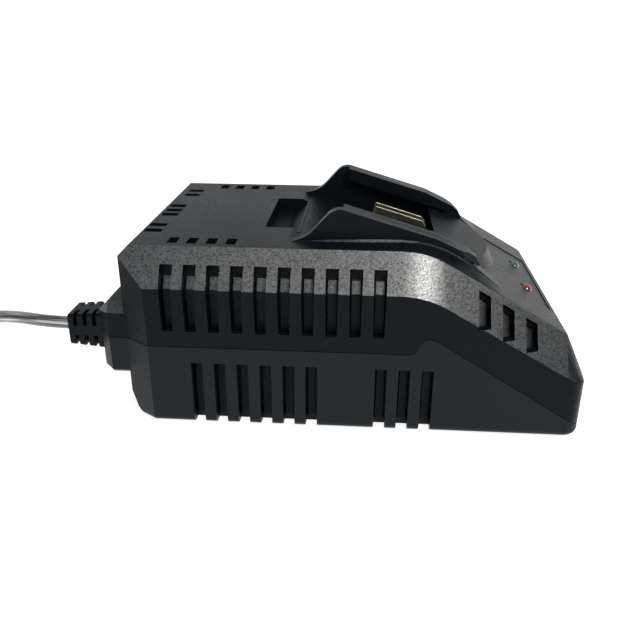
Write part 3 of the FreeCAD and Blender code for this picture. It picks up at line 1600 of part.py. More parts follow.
# Tie: a band round the side of the coil away from the charger
tie = new_body("cord_tie")
cord_half = cell("cord_diameter") / 2
room = cell("tie_room")
tie_thick = cell("tie_thick")
COIL_TOP = COIL_HEIGHT + cell("coil_pitch") * (LAYERS - 1)
coil_x = cell("coil_reach")
tie_left = coil_x - RADII[0] - cord_half - room
tie_right = coil_x - INNER_CLIMB + cord_half + room
tie_low = tie_thick + 0.05
tie_high = COIL_TOP + cord_half + room
outer_band = rectangle(
    tie_left - tie_thick, tie_right + tie_thick, tie_low - tie_thick, tie_high + tie_thick
)
inner_band = rectangle(tie_left, tie_right, tie_low, tie_high)
tie_place = -(cell("coil_side") + 3) - cell("tie_width") / 2
sketch = outline_sketch(tie, "tie_outline", "XZ_Plane", tie_place, outer_band, inner_band)
pad(tie, "tie_band", sketch, cell("tie_width"))


def unit(vector):
    """A copy of a vector with a length of one."""
    return Vector(vector).normalize()


def rounded_route(label, points):
    """Straight runs joined by tangent arcs, as one wire; prints the arcs' radii."""
    edges = []
    radii = []
    last = points[0]
    for before, corner, after in zip(points, points[1:], points[2:]):
        arriving = unit(corner - before)
        leaving = unit(after - corner)
        trim = 0.45 * min((corner - before).Length, (after - corner).Length)
        half = arriving.getAngle(leaving) / 2
        radius = trim / math.tan(half)
        first = corner - arriving * trim
        final = corner + leaving * trim
        inward = unit(leaving - arriving)
        middle = corner + inward * (radius / math.cos(half) - radius)
        edges.append(Part.LineSegment(last, first).toShape())
        edges.append(Part.Arc(first, middle, final).toShape())
        radii.append(round(radius, 1))
        last = final
    edges.append(Part.LineSegment(last, points[-1]).toShape())
    print(label, "arc radii", radii)
    return Part.Wire(edges)


def sweep_round(label, path, diameter):
    """A round tube along a wire, as a document object; prints its volume against the ideal."""
    start = path.Edges[0]
    along = start.tangentAt(start.FirstParameter)
    ring = Part.Wire([Part.Circle(start.valueAt(start.FirstParameter), along, diameter / 2).toShape()])
    solid = path.makePipeShell([ring], True, False)
    if solid.Volume < 0:
        solid.reverse()
    ideal = math.pi * diameter ** 2 / 4 * path.Length
    print(label, "length", round(path.Length, 1), "volume", round(solid.Volume), "ideal", round(ideal))
    item = doc.addObject("Part::Feature", label)
    item.Label = label
    item.Shape = solid
    return item


def arc_from(start, tangent, end):
    """The arc that leaves start along a tangent and reaches end."""
    chord = end - start
    along = unit(chord)
    side = unit(tangent - along * tangent.dot(along))
    angle = tangent.getAngle(chord)
    middle = (start + end) / 2 + side * (chord.Length / 2 * math.tan(angle / 2))
    return Part.Arc(start, middle, end).toShape()


def biarc(start, tangent, end, last_tangent):
    """Two arcs that join two places and directions in space."""
    gap = end - start
    square_term = 2 * (1 - tangent.dot(last_tangent))
    line_term = 2 * gap.dot(tangent + last_tangent)
    fixed = gap.dot(gap)
    if square_term < 1e-9:
        reach = fixed / line_term
    else:
        root = math.sqrt(line_term ** 2 + 4 * square_term * fixed)
        reach = (root - line_term) / (2 * square_term)
    joint = (start + tangent * reach + end - last_tangent * reach) / 2
    middle = unit(end - last_tangent * reach - start - tangent * reach)
    return [arc_from(start, tangent, joint), arc_from(joint, middle, end)]


def coil_path():
    """The coil's line: spirals in and out in four layers, with a climb where the spiral turns back."""
    tail = DIMENSIONS["coil_tail"]
    x = DIMENSIONS["coil_reach"]
    y = DIMENSIONS["coil_side"] + DIMENSIONS["coil_radius"]
    z = COIL_HEIGHT.number
    step = DIMENSIONS["coil_pitch"]
    climbs = (INNER_CLIMB.number, OUTER_CLIMB.number)
    place = Vector(x, y, z)
    edges = [Part.LineSegment(place + Vector(tail, 0, 0), place).toShape()]
    for index, size in enumerate(HALF_TURNS):
        radius = size.number
        side = 1 if index % 2 else -1
        heading = Vector(side, 0, 0)
        rise = step if any(abs(radius - climb) < 1e-6 for climb in climbs) else 0.0
        end = place + Vector(0, 2 * radius * side, rise)
        middle = place + Vector(radius * side, radius * side, rise / 2)
        if rise:
            slope = 1.6 * rise / (math.pi * radius)
            across = unit(Vector(0, side, slope))
            edges += biarc(place, heading, middle, across)
            edges += biarc(middle, across, end, -heading)
        else:
            edges.append(Part.Arc(place, middle, end).toShape())
        place = end
    edges.append(Part.LineSegment(place, place + Vector(tail, 0, 0)).toShape())
    return Part.Wire(edges), place + Vector(tail, 0, 0)


def least_gap(path, diameter, step=2.0):
    """Least distance between the surfaces of stretches that aren't neighbours along a tube."""
    count = int(path.Length / step)
    points = path.discretize(Number=count)
    skip = int(4 * diameter / step)
    near = min(
        (points[first] - points[second]).Length
        for first in range(count)
        for second in range(first + skip, count)
    )
    return near - diameter


# Mains lead: the stretch that shows, the coil beside the charger and the end by the plug
CORD = DIMENSIONS["cord_diameter"]
LEAD_ROUTE = [
    Vector(-110.5, -41.0, 34.5),
    Vector(-121.0, -41.0, 34.5),
    Vector(-140.0, -36.8, 34.9),
    Vector(-158.0, -33.4, 31.6),
    Vector(-174.5, -31.8, 23.6),
    Vector(-190.0, -32.3, 14.2),
    Vector(-204.5, -34.9, 6.6),
    Vector(-217.0, -37.0, 3.6),
    Vector(-230.0, -37.0, 3.6),
]
mains_cord = sweep_round("mains_cord", rounded_route("mains_cord", LEAD_ROUTE), CORD)
coil_wire, coil_end = coil_path()
print("coil end", coil_end, "least gap", round(least_gap(coil_wire, CORD), 2))
cord_coil = sweep_round("cord_coil", coil_wire, CORD)
END_ROUTE = [
    coil_end,
    coil_end + Vector(15.0, 0, 0),
    Vector(-190.0, coil_end.y, PLUG_HEIGHT.number),
    Vector(-175.0, coil_end.y, PLUG_HEIGHT.number),
]
cord_end = sweep_round("cord_end", rounded_route("cord_end", END_ROUTE), CORD)
cords = [mains_cord, cord_coil, cord_end]

# Wires inside the shells
WIRES = {
    "live_wire": [
        Vector(STUB_END.number + 0.1, -40.6, 36.2),
        Vector(-78.5, -38.2, 36.0),
        Vector(-72.5, -34.0, 29.0),
        Vector(-67.5, -31.5, 21.0),
        Vector(-66.0, -31.0, 13.7),
    ],
    "neutral_wire": [
        Vector(STUB_END.number + 0.1, -40.6, 32.8),
        Vector(-79.0, -37.2, 31.5),
        Vector(-73.0, -32.0, 25.0),
        Vector(-69.0, -27.5, 19.0),
        Vector(-67.8, -26.0, 13.7),
    ],
    "positive_wire": [
        Vector(24.0, -3.3, 54.6),
        Vector(25.0, -3.0, 49.5),
        Vector(33.0, 2.0, 47.5),
        Vector(45.0, 10.0, 42.0),
        Vector(53.0, 18.0, 32.0),
        Vector(54.0, 20.0, 22.7),
    ],
    "negative_wire": [
        Vector(28.0, 3.3, 53.4),
        Vector(29.0, 4.5, 49.0),
        Vector(37.0, 9.0, 46.5),
        Vector(47.0, 15.0, 40.5),
        Vector(54.5, 22.0, 31.0),
        Vector(54.0, 25.0, 22.7),
    ],
}
wires = [
    sweep_round(label, rounded_route(label, route), DIMENSIONS["wire_diameter"])
    for label, route in WIRES.items()
]
doc.recompute()

# Check everything, then write one file for each piece
parts = [top_shell, bottom_shell, contact_block, *blades, *lamps, *liners, board, *electronics]
parts += [feet, screws, board_screws, lamp_board, boot, plug_body, plug_pins, tie, *cords, *wires]
faults = [item.Name for item in doc.Objects if {"Invalid", "Error"} & set(item.State)]
faults += [item.Label for item in parts if item.Shape.isNull() or not item.Shape.isValid()]
if faults:
    raise RuntimeError(f"pieces that failed: {faults}")
for item in parts:
    item.Shape.exportStep(f"parts/{item.Label}.step")
    print(item.Label, "solids", len(item.Shape.Solids), "volume", round(item.Shape.Volume, 1))
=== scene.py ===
"""Looks of the slide-pack battery charger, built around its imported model.

Metres, +X towards the nose, +Z up.
"""

from dataclasses import dataclass, field
from enum import Enum
import json
import logging
import math

import bmesh
import bpy
from mathutils import Matrix, Vector


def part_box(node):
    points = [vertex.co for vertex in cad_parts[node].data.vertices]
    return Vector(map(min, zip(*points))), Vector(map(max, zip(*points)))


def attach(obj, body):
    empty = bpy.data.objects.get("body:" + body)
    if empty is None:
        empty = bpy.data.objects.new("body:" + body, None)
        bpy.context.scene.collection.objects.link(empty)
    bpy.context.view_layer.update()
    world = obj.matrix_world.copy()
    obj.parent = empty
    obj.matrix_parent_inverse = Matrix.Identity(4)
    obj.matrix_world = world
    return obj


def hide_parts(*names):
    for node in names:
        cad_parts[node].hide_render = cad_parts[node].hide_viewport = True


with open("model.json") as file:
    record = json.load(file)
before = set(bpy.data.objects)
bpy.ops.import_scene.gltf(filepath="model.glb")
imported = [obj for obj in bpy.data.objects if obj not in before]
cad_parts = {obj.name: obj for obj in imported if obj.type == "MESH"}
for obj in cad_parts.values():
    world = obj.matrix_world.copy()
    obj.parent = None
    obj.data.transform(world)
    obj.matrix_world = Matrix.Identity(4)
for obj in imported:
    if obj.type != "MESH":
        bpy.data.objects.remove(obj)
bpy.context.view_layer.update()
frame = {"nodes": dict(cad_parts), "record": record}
LOG = logging.getLogger("charger")
MM = 0.001
BODY = "root"
IMAGE_SIDE = 640


class Grain(Enum):
    """How a moulded surface is textured."""

    SPARKLE = "sparkle"
    SATIN = "satin"
    SMOOTH = "smooth"


def new_group(name: str, inputs: dict, outputs: dict) -> bpy.types.ShaderNodeTree:
    """Start a shader node group.

    Args:
        name: the group's name.
        inputs: socket name to (socket type, default value).
        outputs: socket name to socket type.

    Returns:
        The empty group with its input and output nodes.
    """
    group = bpy.data.node_groups.new(name, "ShaderNodeTree")
    for label, (kind, value) in inputs.items():
        socket = group.interface.new_socket(label, in_out="INPUT", socket_type=kind)
        if value is not None:
            socket.default_value = value
    for label, kind in outputs.items():
        group.interface.new_socket(label, in_out="OUTPUT", socket_type=kind)
    group.nodes.new("NodeGroupInput").name = "in"
    group.nodes.new("NodeGroupOutput").name = "out"
    return group


class Wiring:
    """A short way to add and join shader nodes in one tree."""

    def __init__(self, tree: bpy.types.ShaderNodeTree) -> None:
        """Keep the tree that nodes are added to."""
        self.tree = tree

    def add(
        self, kind: str, values: dict | None = None, **settings: object
    ) -> bpy.types.Node:
        """Add a node.

        Args:
            kind: the node's type without its ShaderNode prefix.
            values: socket name or number to a plain value or to an output socket.
            settings: the node's own properties.

        Returns:
            The new node.
        """
        node = self.tree.nodes.new(f"ShaderNode{kind}")
        for key, value in settings.items():
            setattr(node, key, value)
        for key, value in (values or {}).items():
            if isinstance(value, bpy.types.NodeSocket):
                self.tree.links.new(value, node.inputs[key])
            else:
                node.inputs[key].default_value = value
        return node

    def maths(
        self, operation: str, first: object, second: object = 0.0
    ) -> bpy.types.NodeSocket:
        """The result of a Math node on two values or sockets."""
        return self.add("Math", {0: first, 1: second}, operation=operation).outputs[0]

    def ramp(self, value: object, low: object, high: object) -> bpy.types.NodeSocket:
        """A clamped 0 to 1 answer to where a value lies between low and high."""
        node = self.add("MapRange", {"Value": value, "From Min": low, "From Max": high})
        return node.outputs["Result"]

    def place(self) -> bpy.types.NodeSocket:
        """Object coordinates."""
        return self.add("TexCoord").outputs["Object"]

    def noise(self, vector: object, scale: object, detail: float = 2.0) -> bpy.types.NodeSocket:
        """A noise texture's value."""
        values = {"Vector": vector, "Scale": scale, "Detail": detail}
        return self.add("TexNoise", values).outputs["Fac"]

    def cells(self, vector: object, scale: object) -> tuple[bpy.types.NodeSocket, ...]:
        """Random cells in space.

        Args:
            vector: the place that is looked up.
            scale: cells per metre.

        Returns:
            The distance from the middle of each cell, and one random value a cell.
        """
        node = self.add("TexVoronoi", {"Vector": vector, "Scale": scale}, feature="F1")
        chance = self.add("SeparateColor", {0: node.outputs["Color"]}).outputs[0]
        return node.outputs["Distance"], chance

    def facing(self) -> tuple[bpy.types.NodeSocket, ...]:
        """The three parts of the surface's own direction."""
        normal = self.add("NewGeometry").outputs["Normal"]
        return tuple(self.add("SeparateXYZ", {0: normal}).outputs)

    def blend(self, factor: object, first: object, second: object) -> bpy.types.NodeSocket:
        """A colour mixed from two.

        Args:
            factor: how much of the second colour shows.
            first: a colour, or a socket that gives one.
            second: a colour, or a socket that gives one.

        Returns:
            The mixed colour's socket.
        """
        node = self.add("Mix", {0: factor}, data_type="RGBA")
        for key, value in ((6, first), (7, second)):
            if isinstance(value, bpy.types.NodeSocket):
                self.tree.links.new(value, node.inputs[key])
            else:
                node.inputs[key].default_value = (*value[:3], 1.0)
        return node.outputs[2]


class Effects:
    """Shader groups that several finishes share, each built once."""

    PIT_SCALE = 0.8
    SPARK_SCALE = 1.15
    CLOUD_SCALE = 0.7
    CLOUD_SHARE = 0.25
    SMUDGE_SCALE = 38.0
    SPECK_SCALE = 240.0
    LEAN_FADE = 0.3

    @classmethod
    def grain(cls) -> bpy.types.ShaderNodeTree:
        """Spark-eroded mould texture: fine pits, and how much each spot catches the light.

        Returns:
            The group, with Scale in and Height and Glint out.
        """
        name = "moulded_grain"
        if name in bpy.data.node_groups:
            return bpy.data.node_groups[name]
        group = new_group(
            name,
            {"Scale": ("NodeSocketFloat", 2200.0)},
            {"Height": "NodeSocketFloat", "Glint": "NodeSocketFloat"},
        )
        wires = Wiring(group)
        place = wires.place()
        scale = group.nodes["in"].outputs["Scale"]
        fine = wires.noise(place, scale, 1.0)
        pits, _ = wires.cells(place, wires.maths("MULTIPLY", scale, cls.PIT_SCALE))
        height = wires.maths(
            "ADD", wires.maths("MULTIPLY", fine, 0.5), wires.maths("MULTIPLY", pits, 0.5)
        )
        _, chance = wires.cells(place, wires.maths("MULTIPLY", scale, cls.SPARK_SCALE))
        cloud = wires.noise(place, wires.maths("MULTIPLY", scale, cls.CLOUD_SCALE), 2.0)
        cloud = wires.maths("MULTIPLY", wires.ramp(cloud, 0.3, 0.7), cls.CLOUD_SHARE)
        glint = wires.maths("ADD", wires.maths("MULTIPLY", chance, 1.0 - cls.CLOUD_SHARE), cloud)
        group.links.new(height, group.nodes["out"].inputs["Height"])
        group.links.new(glint, group.nodes["out"].inputs["Glint"])
        return group

    @classmethod
    def handling(cls) -> bpy.types.ShaderNodeTree:
        """Broad smudges from hands, and specks of dust on what faces up.

        Returns:
            The group, with Dust in and Smudge and Speck out.
        """
        name = "handling_marks"
        if name in bpy.data.node_groups:
            return bpy.data.node_groups[name]
        group = new_group(
            name,
            {"Dust": ("NodeSocketFloat", 0.3)},
            {"Smudge": "NodeSocketFloat", "Speck": "NodeSocketFloat"},
        )
        wires = Wiring(group)
        place = wires.place()
        smudge = wires.ramp(wires.noise(place, cls.SMUDGE_SCALE, 4.0), 0.42, 0.68)
        distance, chance = wires.cells(place, cls.SPECK_SCALE)
        dot = wires.ramp(distance, 0.075, 0.045)
        rare = wires.ramp(chance, 0.93, 0.95)
        _, _, up = wires.facing()
        speck = wires.maths(
            "MULTIPLY", wires.maths("MULTIPLY", dot, rare), wires.ramp(up, 0.3, 0.9)
        )
        speck = wires.maths("MULTIPLY", speck, group.nodes["in"].outputs["Dust"])
        group.links.new(smudge, group.nodes["out"].inputs["Smudge"])
        group.links.new(speck, group.nodes["out"].inputs["Speck"])
        return group

    @classmethod
    def leaning(cls) -> bpy.types.ShaderNodeTree:
        """One on surfaces that lean between a wall and the deck, where the mould is glossier.

        Returns:
            The group, with Reach in and Mask out.
        """
        name = "leaning_surface"
        if name in bpy.data.node_groups:
            return bpy.data.node_groups[name]
        group = new_group(name, {"Reach": ("NodeSocketFloat", 0.75)}, {"Mask": "NodeSocketFloat"})
        wires = Wiring(group)
        reach = group.nodes["in"].outputs["Reach"]
        forward, across, up = wires.facing()
        side = wires.maths("ABSOLUTE", across)
        mask = wires.maths("MULTIPLY", wires.ramp(side, 0.30, 0.60), wires.ramp(up, 0.15, 0.45))
        fading = wires.ramp(forward, reach, wires.maths("SUBTRACT", reach, cls.LEAN_FADE))
        mask = wires.maths("MULTIPLY", mask, fading)
        group.links.new(mask, group.nodes["out"].inputs["Mask"])
        return group


@dataclass(frozen=True)
class GrainNumbers:
    """How one grain is drawn: pits per metre, bump distance in metres and swing of roughness."""

    scale: float
    depth: float
    swing: float


GRAINS = {
    Grain.SPARKLE: GrainNumbers(2000.0, 0.00022, 0.10),
    Grain.SATIN: GrainNumbers(2600.0, 0.00004, 0.05),
    Grain.SMOOTH: GrainNumbers(1500.0, 0.000008, 0.03),
}


def start_material(name: str) -> tuple[bpy.types.Material, Wiring, bpy.types.Node]:
    """A new node material.

    Args:
        name: the material's name.

    Returns:
        The material, its wiring helper and its Principled node.
    """
    material = bpy.data.materials.new(name)
    material.use_nodes = True
    return material, Wiring(material.node_tree), material.node_tree.nodes["Principled BSDF"]


@dataclass(frozen=True)
class MouldedPlastic:
    """An injection-moulded surface with its grain, smudges and dust, and a painted glint: spots
    where the grain's Glint is high are painted a lighter colour.

    band_shine is how much the leaning surfaces shine, and shine_reach how far forward
    a surface may face before that shine has gone.
    """

    DUST = (0.45, 0.44, 0.42)
    PAINTED_GLINT_LIFT = 1.15
    SMUDGE_ROUGHNESS = 0.03
    STEADY_SHINE = 0.15
    SPARKLING_SHINE = 0.90

    name: str
    colour: tuple[float, float, float]
    grain: Grain = Grain.SATIN
    roughness: float = 0.4
    coat: float = 0.0
    dust: float = 0.3
    specular: float = 0.5
    coat_roughness: float = 0.08
    coat_ior: float = 1.5
    band_shine: float = 0.0
    shine_reach: float = 0.58

    def build(self) -> bpy.types.Material:
        """Make the material.

        Returns:
            The material, with its nodes in place.
        """
        material, wires, shader = start_material(self.name)
        numbers = GRAINS[self.grain]
        grain = wires.add("Group", node_tree=Effects.grain())
        grain.inputs["Scale"].default_value = numbers.scale
        marks = wires.add("Group", node_tree=Effects.handling())
        marks.inputs["Dust"].default_value = self.dust
        # Painted glint: the base colour is lifted towards a lighter copy where the grain's Glint
        # mask is high, at spots laid out at random.
        light = tuple(min(1.0, part * self.PAINTED_GLINT_LIFT) for part in self.colour)
        tone = wires.blend(grain.outputs["Glint"], self.colour, light)
        tone = wires.blend(marks.outputs["Speck"], tone, self.DUST)
        swing = wires.maths("MULTIPLY", grain.outputs["Glint"], numbers.swing)
        rough = wires.maths("SUBTRACT", self.roughness + numbers.swing / 2, swing)
        smudge = wires.maths("MULTIPLY", marks.outputs["Smudge"], self.SMUDGE_ROUGHNESS)
        rough = wires.maths("ADD", rough, smudge)
        relief = {"Height": grain.outputs["Height"], "Strength": 1.0, "Distance": numbers.depth}
        bump = wires.add("Bump", relief)
        links = material.node_tree.links
        links.new(tone, shader.inputs["Base Color"])
        links.new(rough, shader.inputs["Roughness"])
        links.new(bump.outputs["Normal"], shader.inputs["Normal"])
        shader.inputs["Coat Weight"].default_value = self.coat
        shader.inputs["Coat Roughness"].default_value = self.coat_roughness
        shader.inputs["Coat IOR"].default_value = self.coat_ior
        shader.inputs["Specular IOR Level"].default_value = self.specular
        if self.band_shine:
            leaning = wires.add("Group", node_tree=Effects.leaning())
            leaning.inputs["Reach"].default_value = self.shine_reach
            mask = leaning.outputs["Mask"]
            spots = wires.maths("MULTIPLY", grain.outputs["Glint"], self.SPARKLING_SHINE)
            spots = wires.maths("ADD", spots, self.STEADY_SHINE)
            shine = wires.maths("MULTIPLY", wires.maths("MULTIPLY", mask, spots), self.band_shine)
            links.new(shine, shader.inputs["Coat Weight"])
        return material


@dataclass(frozen=True)
class Metal:
    """A metal with brush marks and a little tarnish."""

    STAINED = 0.55
    STREAK_SWING = 0.22
    STAIN_SCALE = 160.0

    name: str
    colour: tuple[float, float, float]
    roughness: float = 0.3
    brush: tuple[float, float, float] = (60.0, 3000.0, 900.0)
    tarnish: float = 0.25

    def build(self) -> bpy.types.Material:
        """Make the material.

        Returns:
            The material, with its nodes in place.
        """
        material, wires, shader = start_material(self.name)
        place = wires.place()
        lines = wires.add("Mapping", {"Vector": place, "Scale": self.brush})
        streak = wires.noise(lines.outputs[0], 1.0, 3.0)
        stain = wires.ramp(wires.noise(place, self.STAIN_SCALE, 4.0), 0.45, 0.75)
        dark = tuple(part * self.STAINED for part in self.colour)
        tone = wires.blend(wires.maths("MULTIPLY", stain, self.tarnish), self.colour, dark)
        swing = wires.maths("MULTIPLY", streak, self.STREAK_SWING)
        rough = wires.maths("ADD", swing, self.roughness - self.STREAK_SWING / 2)
        bump = wires.add("Bump", {"Height": streak, "Strength": 0.5, "Distance": 0.00003})
        links = material.node_tree.links
        links.new(tone, shader.inputs["Base Color"])
        links.new(rough, shader.inputs["Roughness"])
        links.new(bump.outputs["Normal"], shader.inputs["Normal"])
        shader.inputs["Metallic"].default_value = 1.0
        return material


@dataclass(frozen=True)
class LampResin:
    """Tinted epoxy of a small lamp, with darker clouds in it."""

    CLOUD_SCALE = 900.0
    DEEP = 0.25

    name: str
    colour: tuple[float, float, float]

    def build(self) -> bpy.types.Material:
        """Make the material.

        Returns:
            The material, with its nodes in place.
        """
        material, wires, shader = start_material(self.name)
        place = wires.place()
        cloud = wires.noise(place, self.CLOUD_SCALE, 3.0)
        deep = tuple(part * self.DEEP for part in self.colour)
        tone = wires.blend(wires.ramp(cloud, 0.35, 0.7), deep, self.colour)
        material.node_tree.links.new(tone, shader.inputs["Base Color"])
        shader.inputs["Roughness"].default_value = 0.12
        shader.inputs["Coat Weight"].default_value = 1.0
        shader.inputs["Coat Roughness"].default_value = 0.04
        shader.inputs["Subsurface Weight"].default_value = 0.35
        shader.inputs["Subsurface Scale"].default_value = 0.002
        return material


@dataclass(frozen=True)
class ClearJacket:
    """Clear lead jacket over silvery strands, patterned along the lead's own UV map."""

    STRAND_STRETCH = (9.0, 26.0, 1.0)
    WIRE_STRETCH = (34.0, 60.0, 1.0)
    GAP = (0.03, 0.03, 0.032)
    STRAND = (0.62, 0.63, 0.64)
    WIRE = (0.85, 0.86, 0.87)

    name: str

    def build(self) -> bpy.types.Material:
        """Make the material.

        Returns:
            The material, with its nodes in place.
        """
        material, wires, shader = start_material(self.name)
        path = wires.add("UVMap", uv_map="lead").outputs["UV"]
        lines = wires.add("Mapping", {"Vector": path, "Scale": self.STRAND_STRETCH})
        strands = wires.noise(lines.outputs[0], 1.0, 3.0)
        gaps = wires.ramp(strands, 0.48, 0.58)
        fine = wires.add("Mapping", {"Vector": path, "Scale": self.WIRE_STRETCH})
        wire_lines = wires.noise(fine.outputs[0], 1.0, 2.0)
        tone = wires.blend(gaps, self.GAP, self.STRAND)
        bright = wires.maths("MULTIPLY", wires.ramp(wire_lines, 0.5, 0.8), 0.6)
        tone = wires.blend(bright, tone, self.WIRE)
        links = material.node_tree.links
        links.new(tone, shader.inputs["Base Color"])
        links.new(wires.maths("MULTIPLY", gaps, 0.85), shader.inputs["Metallic"])
        links.new(wires.ramp(wire_lines, -0.6, 2.6), shader.inputs["Roughness"])
        bump = wires.add("Bump", {"Height": wire_lines, "Strength": 0.6, "Distance": 0.0001})
        links.new(bump.outputs["Normal"], shader.inputs["Normal"])
        shader.inputs["Coat Weight"].default_value = 1.0
        shader.inputs["Coat Roughness"].default_value = 0.06
        return material


@dataclass(frozen=True)
class WovenBand:
    """Hook-and-loop strap: fine ribs and short pile."""

    THREADS = 900.0
    PILE = 4200.0

    name: str
    colour: tuple[float, float, float]

    def build(self) -> bpy.types.Material:
        """Make the material.

        Returns:
            The material, with its nodes in place.
        """
        material, wires, shader = start_material(self.name)
        place = wires.place()
        bands = {"Vector": place, "Scale": self.THREADS, "Distortion": 2.0}
        weave = wires.add("TexWave", bands, bands_direction="Y")
        pile = wires.noise(place, self.PILE, 2.0)
        height = wires.maths("ADD", wires.maths("MULTIPLY", weave.outputs["Fac"], 0.5), pile)
        light = tuple(part * 2.2 + 0.01 for part in self.colour)
        tone = wires.blend(pile, self.colour, light)
        bump = wires.add("Bump", {"Height": height, "Strength": 1.0, "Distance": 0.0002})
        material.node_tree.links.new(tone, shader.inputs["Base Color"])
        material.node_tree.links.new(bump.outputs["Normal"], shader.inputs["Normal"])
        shader.inputs["Roughness"].default_value = 0.9
        shader.inputs["Sheen Weight"].default_value = 0.3
        return material


class Finishes:
    """Every finish on the charger, made when first asked for."""

    BLACK = (0.0030, 0.0048, 0.0070)
    LIST = {
        "housing": MouldedPlastic(
            "textured_black_housing", BLACK, Grain.SPARKLE, 0.30,
            specular=0.08, coat_roughness=0.37, coat_ior=1.75, band_shine=1.5,
        ),
        "lower_housing": MouldedPlastic(
            "satin_black_housing", (0.0050, 0.0080, 0.0110), roughness=0.42, specular=0.15
        ),
        "liner": MouldedPlastic(
            "black_liner", (0.0035, 0.0055, 0.0080), Grain.SPARKLE, 0.32, dust=0.0,
            specular=0.08, coat_roughness=0.38, coat_ior=1.7, band_shine=1.2, shine_reach=0.4,
        ),
        "contact_plastic": MouldedPlastic(
            "black_contact_block", (0.008, 0.008, 0.009), roughness=0.5
        ),
        "rubber": MouldedPlastic(
            "black_rubber", (0.0020, 0.0035, 0.0055), roughness=0.34, dust=0.1, specular=0.12
        ),
        "plug_plastic": MouldedPlastic(
            "glossy_black_plug", (0.010, 0.010, 0.011), Grain.SMOOTH, 0.3, 0.2
        ),
        "chip_plastic": MouldedPlastic(
            "black_chip", (0.015, 0.015, 0.016), roughness=0.5, dust=0.0
        ),
        "board_laminate": MouldedPlastic(
            "green_board", (0.02, 0.16, 0.05), Grain.SMOOTH, 0.35, 0.4, 0.0
        ),
        "capacitor_sleeve": MouldedPlastic(
            "dark_sleeve", (0.02, 0.03, 0.06), Grain.SMOOTH, 0.25, 0.3, 0.0
        ),
        "film_box": MouldedPlastic(
            "yellow_box", (0.62, 0.42, 0.05), Grain.SMOOTH, 0.35, 0.1, 0.0
        ),
        "relay_case": MouldedPlastic("blue_case", (0.03, 0.12, 0.45), Grain.SMOOTH, 0.3, 0.2, 0.0),
        "disc_coat": MouldedPlastic("blue_disc", (0.04, 0.16, 0.42), Grain.SMOOTH, 0.35, 0.3, 0.0),
        "ferrite": MouldedPlastic("grey_ferrite", (0.05, 0.05, 0.052), roughness=0.6, dust=0.0),
        "bobbin_plastic": MouldedPlastic(
            "black_bobbin", (0.02, 0.02, 0.02), roughness=0.5, dust=0.0
        ),
        "winding_tape": MouldedPlastic(
            "amber_tape", (0.6, 0.38, 0.05), Grain.SMOOTH, 0.2, 0.6, 0.0
        ),
        "connector_plastic": MouldedPlastic(
            "white_connector", (0.7, 0.7, 0.64), Grain.SMOOTH, 0.4, dust=0.0
        ),
        "fuse_glass": MouldedPlastic("pale_fuse", (0.5, 0.52, 0.5), Grain.SMOOTH, 0.1, 1.0, 0.0),
        "wire_live": MouldedPlastic("brown_wire", (0.16, 0.06, 0.02), Grain.SMOOTH, 0.3, 0.2, 0.0),
        "wire_neutral": MouldedPlastic("blue_wire", (0.02, 0.08, 0.4), Grain.SMOOTH, 0.3, 0.2, 0.0),
        "wire_positive": MouldedPlastic("red_wire", (0.5, 0.02, 0.02), Grain.SMOOTH, 0.3, 0.2, 0.0),
        "wire_negative": MouldedPlastic(
            "black_wire", (0.012, 0.012, 0.012), Grain.SMOOTH, 0.3, 0.2, 0.0
        ),
        "brass": Metal("bright_contact", (0.34, 0.31, 0.24), 0.34, tarnish=0.7),
        "pin_metal": Metal("bright_pin", (0.83, 0.78, 0.62), 0.22),
        "steel": Metal("zinc_screw", (0.60, 0.60, 0.58), 0.35),
        "aluminium": Metal("mill_aluminium", (0.78, 0.78, 0.79), 0.4),
        "red_lens": LampResin("red_resin", (0.42, 0.006, 0.012)),
        "green_lens": LampResin("green_resin", (0.006, 0.20, 0.055)),
        "cord_jacket": ClearJacket("clear_jacket"),
        "tie_fabric": WovenBand("black_strap", (0.014, 0.014, 0.015)),
    }

    def __init__(self) -> None:
        """Start with nothing made."""
        self.made: dict[str, bpy.types.Material] = {}

    def get(self, slot: str) -> bpy.types.Material:
        """The material of one of the record's slots.

        Args:
            slot: the slot's name.

        Returns:
            The material, made on the first call.
        """
        if slot not in self.made:
            self.made[slot] = self.LIST[slot].build()
        return self.made[slot]


def slot_of(node: str) -> str:
    """The record's material slot of a CAD node."""
    parts = frame["record"]["subparts"]
    return next(entry["material_slot"] for entry in parts if entry["node"] == node)


def add_piece(
    name: str, shape: bmesh.types.BMesh, slot: str, finishes: Finishes, *nodes: str
) -> bpy.types.Object:
    """Turn a bmesh into a piece that rides on the charger.

    Args:
        name: the piece's name.
        shape: its mesh, in place and in metres. It is freed.
        slot: the record's material slot.
        finishes: the finishes to take its material from.
        nodes: the CAD nodes that it stands for.

    Returns:
        The new object.
    """
    mesh = bpy.data.meshes.new(name)
    shape.to_mesh(mesh)
    shape.free()
    mesh.materials.append(finishes.get(slot))
    mesh.shade_smooth()
    piece = bpy.data.objects.new(name, mesh)
    bpy.context.collection.objects.link(piece)
    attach(piece, BODY)
    if nodes:
        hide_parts(*nodes)
    LOG.info("%s: %d faces", name, len(mesh.polygons))
    return piece


